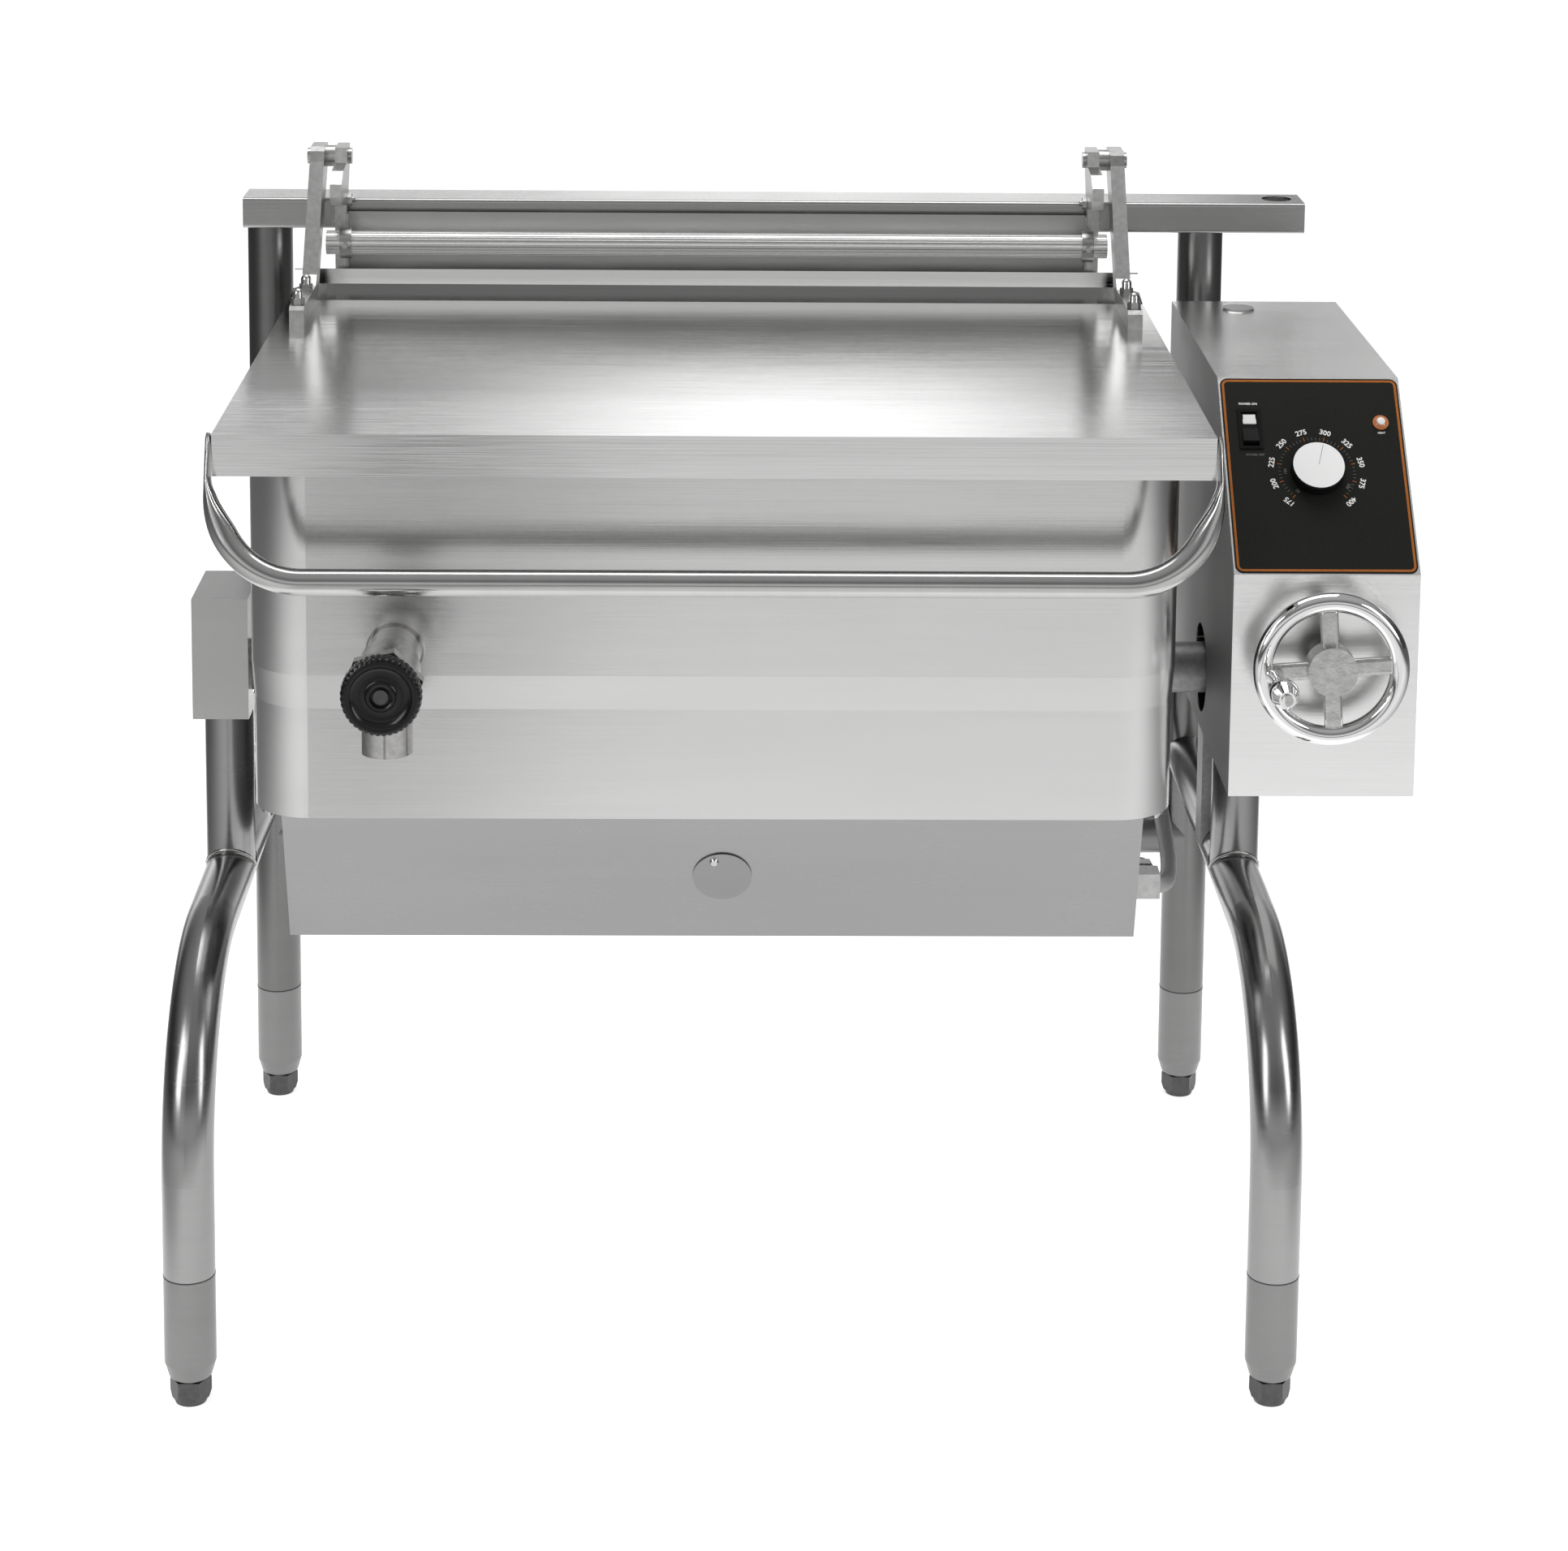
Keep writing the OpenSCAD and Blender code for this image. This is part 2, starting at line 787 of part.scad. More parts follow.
module ignition_module() {
    color("dimgray")
        translate([console_mid - 40, 150, console_low + console_wall]) {
            cube([110, 80, 34]);
            translate([10, 20, 34])
                cube([90, 14, 8]);
        }
}

module tilt_switch() {
    color("#202020")
        translate([gear_x + gear_w / 2 + 3, -34, trunnion_h + gear_shaft_r + 5]) {
            cube([11, 22, 30]);
            translate([5.5, 11, -3])
                cylinder(h = 3, r = 2);
        }
}

// Gas supply: bracket on the rear stretcher with a coupling, and the hose to the heater box

inlet_x = post_right - leg_r - 22;
inlet_rise = 218;
inlet_z = stretcher_h + inlet_rise;
inlet_y = rear_reach - 21;
hose_start = [inlet_x, inlet_y, inlet_z - 28];
hose_end = [heater_w / 2 + 23, manifold_y + 90, heater_low + 20];

// Plate on the rear stretcher with the gas inlet at the back and the hose union in front
module supply_bracket() {
    plate_y = rear_reach - 4;
    base_z = stretcher_h + leg_r - 4;
    color("gray")
        difference() {
            union() {
                translate([inlet_x - 36, plate_y, base_z])
                    cube([50, 4, inlet_z + 24 - base_z]);
                translate([inlet_x, inlet_y - 14, inlet_z])
                    rod_y(14, plate_y - inlet_y + 14);
                translate([inlet_x, plate_y + 4, inlet_z])
                    rod_y(18, 22);
                translate([inlet_x, inlet_y, hose_start[2]])
                    cylinder(h = inlet_z - hose_start[2], r = 11);
                translate([inlet_x, inlet_y, hose_start[2]])
                    cylinder(h = 12, r = 13, $fn = 6);
            }
            translate([stand_shift, rear_reach, stretcher_h])
                rod_x(leg_r + weld, leg_span);
            translate([inlet_x, plate_y, inlet_z])
                rod_y(12, 40);
        }
}

hose_points = [hose_start - [0, 0, face_gap], [inlet_x, inlet_y, 482], [inlet_x + 1, 366, 456],
    [inlet_x + 3, 344, 424], [inlet_x + 3, 308, 401], [inlet_x + 3, 262, 387], [inlet_x + 1, 210, 380],
    [inlet_x - 3, 150, 379], [inlet_x - 10, 92, 382], [inlet_x - 20, 40, 391], [inlet_x - 36, -16, 410],
    [inlet_x - 51, -60, 434], [hose_end[0] + 2, -88, hose_end[2] - 4], hose_end + [0, face_gap + 8, 0],
    hose_end + [0, face_gap, 0]];

hose_sides = 12;

function unit(v) = v / norm(v);

// Direction of the hose at point i
function hose_way(i) =
    unit(hose_points[min(i + 1, len(hose_points) - 1)] - hose_points[max(i - 1, 0)]);

// Ring of points round the hose at point i
function hose_ring(i) =
    let (way = hose_way(i), u = unit(cross([1, 0, 0], way)), v = cross(way, u))
    [for (k = [0 : hose_sides - 1])
        hose_points[i] + hose_r * (cos(k * 360 / hose_sides) * u + sin(k * 360 / hose_sides) * v)];

module gas_hose() {
    last = len(hose_points) - 1;
    rings = [for (i = [0 : last]) each hose_ring(i)];
    walls = [for (i = [0 : last - 1], k = [0 : hose_sides - 1])
        let (a = i * hose_sides + k, b = i * hose_sides + (k + 1) % hose_sides)
        each [[a, a + hose_sides, b], [b, a + hose_sides, b + hose_sides]]];
    start_cap = [for (k = [0 : hose_sides - 1]) k];
    end_cap = [for (k = [hose_sides - 1 : -1 : 0]) last * hose_sides + k];
    color("gray")
        polyhedron(points = rings, faces = concat(walls, [start_cap], [end_cap]));
}

// Pan and heater

module pan_vessel() {
    color("lightgray")
        difference() {
            union() {
                translate([0, pan_mid, pan_base])
                    linear_extrude(rim_h - pan_base)
                        rounded(pan_w, pan_d, pan_corner_r);
                translate([0, pan_mid, rim_h - 11])
                    linear_extrude(11)
                        rounded(pan_w + 2 * rim_flange, pan_d + 2 * rim_flange, pan_corner_r + rim_flange);
                translate([0, pan_front - lip_reach / 2 + 20, rim_h - 11])
                    linear_extrude(11)
                        rounded(pan_w - pan_corner_r, lip_reach + 40, 12);
            }
            translate([0, pan_mid, rim_h - pan_depth])
                linear_extrude(pan_depth + 1)
                    rounded(pan_w - 2 * pan_wall, pan_d - 2 * pan_wall, pan_corner_r - pan_wall);
            // hollow under the turned-down rim
            difference() {
                union() {
                    translate([0, pan_mid, rim_h - 12])
                        linear_extrude(12 - pan_wall)
                            rounded(pan_w + 2 * rim_flange - 4, pan_d + 2 * rim_flange - 4,
                                pan_corner_r + rim_flange - 2);
                    translate([0, pan_front - lip_reach / 2 + 20, rim_h - 12])
                        linear_extrude(12 - pan_wall)
                            rounded(pan_w - pan_corner_r - 4, lip_reach + 36, 10);
                }
                translate([0, pan_mid, rim_h - 13])
                    linear_extrude(14)
                        rounded(pan_w, pan_d, pan_corner_r);
            }
            translate([-drain_left, pan_front - 1, drain_z])
                rod_y(stub_r - stub_wall, pan_wall + 2);
        }
}

module heating_plate() {
    inset = 8;
    color("gray")
        translate([0, pan_mid, pan_base - plate_t])
            linear_extrude(plate_t)
                rounded(skirt_w - 2 * inset, skirt_d - 2 * inset, skirt_r - inset);
}

module pan_skirt() {
    color("silver")
        difference() {
            translate([0, pan_mid, 0])
                union() {
                    translate([0, 0, skirt_low])
                        linear_extrude(joggle_low - skirt_low + 1)
                            rounded(skirt_w, skirt_d, skirt_r);
                    translate([0, 0, joggle_low])
                        drawn_in(pan_w, pan_d, pan_corner_r, joggle_in, joggle_h);
                }
            translate([0, pan_mid, skirt_low + skirt_wall])
                linear_extrude(pan_base - skirt_low)
                    rounded(skirt_w - 2 * skirt_wall, skirt_d - 2 * skirt_wall, skirt_r - skirt_wall);
            translate([-heater_w / 2 + 12, heater_front + 12, skirt_low - 1])
                cube([heater_w - 24, heater_rear - heater_front - 24, 4]);
            for (side = [-1, 1])
                translate([side * skirt_w / 2, 0, trunnion_h])
                    rod_x(trunnion_r + face_gap, 8 * skirt_wall);
            translate([-flue_w / 2 + 30, skirt_rear - 4, flue_low + 10])
                cube([flue_w - 60, 8, 60]);
        }
}

module skirt_bolts() {
    color("silver")
        for (x = [-1, 1], y = [-1, 1])
            translate([x * (skirt_w / 2 - 14), pan_mid + y * (skirt_d / 2 - 46), skirt_low]) {
                translate([0, 0, -2])
                    cylinder(h = 2, r = 9);
                translate([0, 0, -9])
                    cylinder(h = 7, r = 7.5, $fn = 6);
                translate([0, 0, -13])
                    cylinder(h = 4, r1 = 3, r2 = 4);
            }
}

module heater_outline(t, open) {
    run = t / cos(heater_lean);
    polygon([[heater_front + run - open * tan(heater_lean), skirt_low + open],
        [heater_rear - t, skirt_low + open],
        [heater_rear - t, heater_low + t],
        [heater_front + heater_slope + run - t * tan(heater_lean), heater_low + t]]);
}

module heater_box() {
    slot_l = 90;
    slot_pitch = (heater_w - 82) / 7;
    color("silver")
        difference() {
            along_x(heater_w)
                heater_outline(0, 0);
            along_x(heater_w - 2 * heater_wall)
                heater_outline(heater_wall, 1);
            on_heater_front(port_x, port_s)
                cylinder(h = 10, r = port_cover_d / 2 - 16, center = true);
            on_heater_front(port_x + port_screw_at[0], port_s - port_screw_at[1])
                cylinder(h = 10, r = 2.5 + run_fit, center = true);
            for (x = [-3 : 3], y = [-1 : 1])
                translate([x * slot_pitch - slot_l / 2, y * 110 + 20, heater_low - 1])
                    cube([slot_l, 14, 4]);
            translate([heater_w / 2, hose_end[1] - 34, hose_end[2]])
                rod_x(12 + face_gap, 8);
        }
}

// Burner tubes on two cross rails
module burners() {
    front = manifold_y + 30;
    len = heater_rear - heater_wall - front;
    color("dimgray") {
        for (i = [0 : burner_count - 1])
            translate([(i - (burner_count - 1) / 2) * burner_pitch, front, burner_z])
                difference() {
                    rod_y(burner_r, len);
                    translate([0, -1, 0])
                        rod_y(burner_r - 2, len - 1);
                    translate([-1.5, 30, 0])
                        cube([3, len - 60, burner_r + 1]);
                }
        for (y = [manifold_y + 80, heater_rear - 102])
            translate([-heater_w / 2 + heater_wall, y, burner_z - burner_r - 18])
                difference() {
                    cube([heater_w - 2 * heater_wall, 22, 18.5]);
                    translate([-1, 2, -1])
                        cube([heater_w, 18, 17]);
                }
    }
}

module gas_manifold() {
    left = -burner_pitch * (burner_count - 1) / 2 - 30;
    right = heater_w / 2 - 28;
    color("gray")
        difference() {
            union() {
                translate([(left + right) / 2, manifold_y, burner_z])
                    rod_x(11, right - left);
                for (i = [0 : burner_count - 1])
                    translate([(i - (burner_count - 1) / 2) * burner_pitch, manifold_y, burner_z])
                        rod_y(6, 50);
                for (x = [left + 12, right - 60])
                    translate([x, manifold_y - 8, heater_low + heater_wall])
                        cube([4, 16, burner_z - heater_low - heater_wall]);
            }
            translate([(left + right) / 2, manifold_y, burner_z])
                rod_x(8, right - left - 8);
        }
}

// Gas control valve on the floor of the box, with the union for the hose outside
module gas_valve() {
    right = heater_w / 2 - heater_wall;
    front = manifold_y - 12;
    union_y = hose_end[1] - 34;
    color("goldenrod") {
        translate([right - 52, front, heater_low + heater_wall])
            cube([46, hose_end[1] + 6 - front, 38]);
        translate([(right - 6 + hose_end[0]) / 2, union_y, hose_end[2]])
            rod_x(12, hose_end[0] - right + 6);
        translate([hose_end[0] - 13, union_y - 13, hose_end[2] - 13])
            cube(26);
        translate([hose_end[0], union_y, hose_end[2]])
            rod_y(11, hose_end[1] - union_y - 5);
        translate([hose_end[0], hose_end[1] - 14, hose_end[2]])
            rotate([-90, 0, 0])
                cylinder(h = 14, r = 14.5, $fn = 6);
        translate([right - 36, manifold_y, heater_low + heater_wall + 38])
            cylinder(h = burner_z - 11.2 - heater_low - heater_wall - 38, r = 8);
    }
}

module flue_outline(t, open) {
    polygon([[flue_front + t, flue_low + t], [flue_rear - t, flue_low + t], [flue_rear - t, flue_top + open],
        [cheek_front + t - open, flue_top + open], [cheek_front + t - open, flue_neck + 34],
        [flue_front + t, flue_neck + open]]);
}

module flue_duct() {
    color("silver")
        difference() {
            along_x(flue_w)
                flue_outline(0, 0);
            along_x(flue_w - 2 * flue_wall)
                polygon([[flue_front + flue_wall, flue_low + flue_wall],
                    [flue_rear - flue_wall, flue_low + flue_wall], [flue_rear - flue_wall, flue_top + 1],
                    [cheek_front - 20, flue_top + 1], [cheek_front - 20, flue_neck + 40],
                    [flue_front + flue_wall, flue_neck + 10]]);
            translate([-flue_w / 2 + 30, flue_front - 2, flue_low + 10])
                cube([flue_w - 60, 6, 60]);
        }
}

// Trunnions and tilt drive

module trunnion_flange() {
    translate([skirt_w / 2 - skirt_wall - 6, -70, trunnion_h - 46])
        cube([6, 140, 92]);
}

module trunnion_right() {
    color("gray")
        difference() {
            union() {
                trunnion_flange();
                translate([(skirt_w / 2 - 8 + post_right + bearing_w / 2 + 2) / 2, 0, trunnion_h])
                    rod_x(trunnion_r, post_right + bearing_w / 2 + 2 - skirt_w / 2 + 8);
                translate([(post_right + gear_x + gear_w / 2 + 4) / 2, 0, trunnion_h])
                    rod_x(gear_shaft_r, gear_x + gear_w / 2 + 4 - post_right);
            }
            translate([skirt_w / 2, 0, trunnion_h])
                rod_x(trunnion_r - trunnion_wall, 2 * (post_right - skirt_w / 2 - 20));
        }
}

module trunnion_left() {
    end_x = post_left - bearing_w / 2 + 1;
    color("gray")
        difference() {
            union() {
                mirror([1, 0, 0])
                    trunnion_flange();
                translate([(-skirt_w / 2 + 8 + end_x) / 2, 0, trunnion_h])
                    rod_x(trunnion_r, -skirt_w / 2 + 8 - end_x);
            }
            translate([-skirt_w / 2, 0, trunnion_h])
                rod_x(trunnion_r - trunnion_wall, 2 * (-skirt_w / 2 - end_x) + 20);
        }
}

// One straight-sided tooth on top of the sector, leaning with the lead of the worm
module sector_tooth() {
    root_r = gear_pitch_r - dedendum;
    root_half = half_tooth + dedendum * flank;
    tip_half = half_tooth - addendum * flank;
    translate([0, 0, root_r - 1])
        rotate([0, 0, -lead_angle])
            along_x(gear_w)
                polygon([[-root_half - flank, 0], [root_half + flank, 0], [root_half, 1],
                    [tip_half, 1 + dedendum + addendum], [-tip_half, 1 + dedendum + addendum],
                    [-root_half, 1]]);
}

module sector_gear() {
    pitch_angle = 360 / gear_teeth;
    first = -2;
    last = ceil(90 / pitch_angle) + 2;
    root_r = gear_pitch_r - dedendum;
    edge = [for (i = [0 : 12]) let (a = (first - 1) * pitch_angle + i * (last - first + 2) * pitch_angle / 12)
        [root_r * sin(a) / cos((last - first + 2) * pitch_angle / 24), root_r * cos(a)
            / cos((last - first + 2) * pitch_angle / 24)]];
    color("goldenrod")
        translate([gear_x, 0, trunnion_h])
            difference() {
                union() {
                    intersection() {
                        rod_x(root_r, gear_w);
                        along_x(gear_w)
                            polygon(concat([[0, -10], [-10, 0]], edge));
                    }
                    rod_x(gear_shaft_r + 12, gear_w);
                    for (i = [first : last])
                        rotate([-i * pitch_angle, 0, 0])
                            sector_tooth();
                }
                rod_x(gear_shaft_r + run_fit, gear_w + 2);
                // lightening slot
                rotate([-45, 0, 0])
                    translate([0, 0, 43])
                        rod_x(9, gear_w + 2);
            }
}

// Cross section of the single-start thread: one lobe whose flanks follow the axial tooth form
function thread_radius(a) =
    let (axial = abs(a) / 360 * lead,
        depth = (axial - (half_tooth - addendum * flank)) / flank)
    worm_pitch_r + addendum - min(max(depth, 0), addendum + dedendum);

module worm() {
    len = worm_turns * lead;
    points = 20;
    color("goldenrod")
        translate([gear_x, -len / 2, worm_h])
            rotate([-90, 0, 0])
                difference() {
                    rotate([0, 0, -90 - 180 * worm_turns])
                        linear_extrude(len, twist = -360 * worm_turns, slices = 14 * worm_turns,
                            segments = points)
                            polygon([for (i = [0 : points - 1]) let (a = -180 + i * 360 / points)
                                [thread_radius(a) * cos(a), thread_radius(a) * sin(a)]]);
                    translate([0, 0, -1])
                        cylinder(h = len + 2, r = shaft_r + 0.15, $fn = 24);
                }
}

module worm_shaft() {
    front = wheel_y - 9 + face_gap;
    collar_l = 3;
    color("silver")
        translate([gear_x, 0, worm_h]) {
            translate([0, front, 0])
                rod_y(shaft_r, bearing_in + bearing_l + 10 - front);
            for (y = [-bearing_in + face_gap, bearing_in - face_gap - collar_l])
                translate([0, y, 0])
                    rod_y(shaft_r + 3.5, collar_l);
        }
}

module spoke() {
    translate([0, 0, wheel_hub_r - 6])
        linear_extrude(wheel_ring_r - wheel_hub_r + 4)
            rounded(18, 9, 4);
}

module handwheel() {
    pin = grip_angle;
    color("gainsboro")
        translate([gear_x, wheel_y, worm_h])
            difference() {
                union() {
                    rotate([90, 0, 0])
                        rotate_extrude()
                            translate([wheel_ring_r, 0])
                                circle(wheel_rim_d / 2);
                    translate([0, -12, 0])
                        rod_y(wheel_hub_r, 24);
                    for (a = [-4 : 90 : 356])
                        rotate([0, a, 0])
                            spoke();
                    rotate([0, -pin, 0])
                        translate([grip_ring_r, -12, 0])
                            rod_y(8, 14);
                    rotate([0, -pin, 0])
                        translate([grip_ring_r, -13 - grip_l, 0])
                            rod_y(4, grip_l + 3);
                    rotate([0, -pin, 0])
                        translate([grip_ring_r, -15 - grip_l, 0])
                            rod_y(5.5, 3 - face_gap);
                }
                translate([0, -9, 0])
                    rod_y(shaft_r + run_fit, 30);
            }
}

// Pear-shaped grip that turns on its pin
module wheel_grip() {
    color("gainsboro")
        translate([gear_x, wheel_y, worm_h])
            rotate([0, -grip_angle, 0])
                translate([grip_ring_r, -12 - face_gap, 0])
                    rotate([90, 0, 0])
                        rotate_extrude()
                            difference() {
                                union() {
                                    polygon([[4 + run_fit, 0], [8, 0], [7, 10], [6.6, 20], [8.5, 30],
                                        [12, 38], [12, grip_l - 10], [8, grip_l - 0.3],
                                        [4 + run_fit, grip_l - 0.3]]);
                                    translate([0, grip_l - 20])
                                        intersection() {
                                            circle(14.5);
                                            translate([4 + run_fit, -20])
                                                square([20, 39.7 - run_fit]);
                                        }
                                }
                            }
}

// Hinges and lid

module hinge_brackets() {
    z0 = flue_neck - 6;
    step_z = balance_h + 40;
    bar_y = cheek_front;
    top_z = pivot_h + 13;
    color("silver")
        for (side = [-1, 1])
            translate([side * (bracket_out - bracket_t / 2), 0, 0])
                difference() {
                    union() {
                        along_x(bracket_t)
                            polygon([[bar_y, z0], [flue_rear, z0], [flue_rear, step_z - 16],
                                [flue_rear - 2, step_z - 5], [pivot_reach + 5, pivot_h - 18],
                                [pivot_reach + 13, pivot_h], [pivot_reach + 13, top_z],
                                [pivot_reach - 24, top_z], [pivot_reach - 26, top_z - 17],
                                [pivot_reach - 62, pivot_h - 7], [pivot_reach - 82, pivot_h - 19],
                                [pivot_reach - 84, pivot_h - 33], [pivot_reach - 75, step_z + 7],
                                [bar_y, step_z]]);
                        translate([0, pivot_reach, pivot_h])
                            rod_x(13, bracket_t);
                    }
                    translate([0, pivot_reach, pivot_h])
                        rod_x(pivot_r + run_fit, bracket_t + 2);
                }
}

module hinge_pins() {
    head = 4;
    inner = bracket_out - bracket_t;
    color("dimgray")
        for (side = [-1, 1])
            translate([0, pivot_reach, pivot_h]) {
                translate([side * (inner + arm_out) / 2, 0, 0])
                    rod_x(pivot_r, arm_out - inner + 2 * face_gap);
                for (x = [inner - head / 2, arm_out + head / 2 + face_gap])
                    translate([side * x, 0, 0])
                        rod_x(9, head);
            }
}

module balance_tube() {
    len = 2 * (arm_in - 5);
    flute_r = 1.1;
    color("lightgray")
        translate([0, balance_y, balance_h])
            along_x(len)
                difference() {
                    circle(balance_d / 2);
                    circle(balance_d / 2 - 5);
                    for (i = [0 : flute_count - 1])
                        rotate(i * 360 / flute_count)
                            translate([balance_d / 2 + 0.3, 0])
                                circle(flute_r, $fn = 16);
                }
}

module tube_collars() {
    clamp_r = balance_d / 2 + 4;
    color("silver")
        for (side = [-1, 1])
            translate([side * collar_x, balance_y, balance_h])
                difference() {
                    union() {
                        rod_x(clamp_r, collar_w);
                        translate([-collar_w / 2, 0, -9])
                            cube([collar_w, clamp_r, 18]);
                        translate([0, -clamp_r - 5, 0])
                            rod_y(3, 8);
                    }
                    rod_x(balance_d / 2 + 0.1, collar_w + 2);
                    translate([-collar_w, cheek_front - balance_y, -clamp_r - 1])
                        cube([2 * collar_w, clamp_r, 2 * clamp_r + 2]);
                }
}

// Lid outline seen from the side: flat top, rising strip and turned-up rear edge
module lid_panel() {
    rise_a = lid_rise / lid_strip;
    half = lid_w / 2;
    side_rear = lid_crease + 20;
    color("lightgray")
        difference() {
            union() {
                // top, strip and upstand
                along_x(lid_w)
                    polygon([[-lid_front, lid_under], [lid_crease, lid_under],
                        [lid_rear, lid_under + lid_rise], [lid_rear, lid_top + lid_rise + lid_upstand],
                        [lid_rear - lid_wall, lid_top + lid_rise + lid_upstand],
                        [lid_rear - lid_wall, lid_top + lid_rise], [lid_crease, lid_top],
                        [-lid_front, lid_top]]);
                translate([-half, -lid_front, lid_top - lid_skirt])
                    cube([lid_w, lid_wall, lid_skirt - lid_wall / 2]);
                for (x = [-half, half - lid_wall])
                    translate([x, -lid_front, lid_top - lid_skirt])
                        cube([lid_wall, lid_front + side_rear, lid_skirt - lid_wall / 2]);
            }
            // clipped rear corners
            for (side = [-1, 1])
                translate([side * half, lid_rear + 1, lid_under - 20])
                    rotate([0, 0, 45])
                        cube([26, 26, 90], center = true);
            for (side = [-1, 1], y = bolt_places)
                translate([side * (arm_out - arm_t / 2), y, lid_under - 1])
                    cylinder(h = 4, r = 4 + run_fit);
        }
}

// Bow handle welded to the sides of the lid, with flattened ends
module lid_handle() {
    r = handle_d / 2;
    lean = atan(handle_out / handle_drop);
    half = lid_w / 2 + handle_side - r;
    drop = handle_drop / cos(lean);
    color("silver")
        translate([0, -lid_front + 8, lid_top])
            rotate([-lean, 0, 0]) {
                translate([0, 0, -drop])
                    rod_x(r, 2 * (half - handle_bend));
                for (side = [0, 1])
                    mirror([side, 0, 0]) {
                        translate([half - handle_bend, 0, -drop + handle_bend])
                            rotate([90, 0, 0])
                                rotate([0, 0, -90])
                                    rotate_extrude(angle = 90)
                                        translate([handle_bend, 0])
                                            circle(r);
                        hull() {
                            translate([half, 0, -drop + handle_bend])
                                cylinder(h = 1, r = r, $fn = 32);
                            translate([lid_w / 2 + face_gap + 3, 0, -lid_skirt - 3])
                                cube([6, 34, 1], center = true);
                        }
                    }
            }
    color("silver")
        for (side = [-1, 1])
            translate([side * (lid_w / 2 + face_gap + 3), 0, 0])
                along_x(6)
                    polygon([[-lid_front - 3, lid_top - 6], [-lid_front + 3, lid_top - 1],
                        [-lid_front + 24, lid_top - 1], [-lid_front + 14, lid_top - lid_skirt - 2],
                        [-lid_front - 20, lid_top - lid_skirt - 2]]);
}

// Bent flat arms from the lid up to the hinge pins
module lid_arms() {
    boss_l = arm_in - bracket_out - face_gap;
    foot_end = pivot_reach - 109;
    foot_l = 123;
    top_z = pivot_h + 12;
    color("lightgray")
        for (side = [-1, 1])
            translate([side * (arm_out - arm_t / 2), 0, 0])
                difference() {
                    union() {
                        along_x(arm_t)
                            polygon([[foot_end - foot_l, lid_top], [foot_end, lid_top],
                                [foot_end + 22, lid_top + 12],
                                [pivot_reach - 21, pivot_h - 56], [pivot_reach + 7, pivot_h - 26],
                                [pivot_reach + 19, pivot_h - 10], [pivot_reach + 22, top_z],
                                [pivot_reach - 10, top_z], [pivot_reach - 18, pivot_h + 8],
                                [pivot_reach - 23, pivot_h - 3], [pivot_reach - 56, pivot_h - 48],
                                [foot_end + 4, lid_top + 31], [foot_end - 8, lid_top + 21],
                                [foot_end - foot_l + 4, lid_top + 21], [foot_end - foot_l, lid_top + 17]]);
                        translate([-side * (arm_t + boss_l) / 2, pivot_reach, pivot_h])
                            rod_x(12, boss_l);
                    }
                    translate([0, pivot_reach, pivot_h])
                        rod_x(pivot_r + run_fit, 2 * (arm_t + boss_l));
                    for (y = bolt_places)
                        translate([0, y, lid_top - 1])
                            cylinder(h = 30, r = 4 + run_fit);
                }
}

module arm_bolts() {
    color("silver")
        for (side = [-1, 1], y = bolt_places)
            translate([side * (arm_out - arm_t / 2), y, lid_top + 21]) {
                cylinder(h = 7, r = 7.4, $fn = 6);
                translate([0, 0, 7])
                    cylinder(h = 5, r = 5.6);
                translate([0, 0, 12])
                    intersection() {
                        sphere(r = 5.6);
                        cylinder(h = 6, r = 6);
                    }
                translate([0, 0, -21 - lid_wall - 0.1])
                    cylinder(h = 22 + lid_wall, r = 4);
            }
}

// Controls that move

module temperature_dial() {
    color("white")
        on_panel(dial_x, dial_s) {
            translate([0, 0, overlay_t + face_gap])
                cylinder(h = dial_h - 1.5, r = dial_d / 2);
            translate([0, 0, overlay_t + face_gap + dial_h - 1.5])
                cylinder(h = 1.5, r1 = dial_d / 2, r2 = dial_d / 2 - 1);
            translate([0, 0, -22])
                cylinder(h = 24, r = 3);
        }
}

// Two-faced rocker, resting with its upper half pressed in
module power_rocker() {
    half = rocker_l / 2 - 2.5;
    color("#202020")
        on_panel(rocker_x, rocker_s)
            translate([0, 0, -6])
                rotate([-7, 0, 0])
                    union() {
                        along_x(rocker_w - 2 * face_gap)
                            polygon([[-half, 4], [half, 4], [half, 9.5], [0, 8], [-half, 9.5]]);
                        along_x(rocker_w - 2 * face_gap)
                            polygon([[-4, -4], [4, -4], [6, 5], [-6, 5]]);
                        rod_x(1.5, rocker_w + 1.4);
                    }
}

// Round cover that swings aside from the viewing port
module port_cover() {
    color("silver")
        difference() {
            on_heater_front(port_x, port_s)
                translate([0, 0, face_gap])
                    cylinder(h = 1.5, r = port_cover_d / 2);
            on_heater_front(port_x + port_screw_at[0], port_s - port_screw_at[1])
                cylinder(h = 10, r = 2.5 + run_fit, center = true);
        }
}

module port_screw() {
    color("silver")
        on_heater_front(port_x + port_screw_at[0], port_s - port_screw_at[1]) {
            translate([0, 0, 1.5 + 2 * face_gap])
                cylinder(h = 2, r1 = 4.5, r2 = 3.2);
            translate([0, 0, -heater_wall - 5])
                cylinder(h = heater_wall + 8, r = 2.5);
            translate([0, 0, -heater_wall - 4.2])
                cylinder(h = 4, r = 5, $fn = 6);
        }
}

// Draw-off valve, with its own axis on y = valve_y pointing forwards

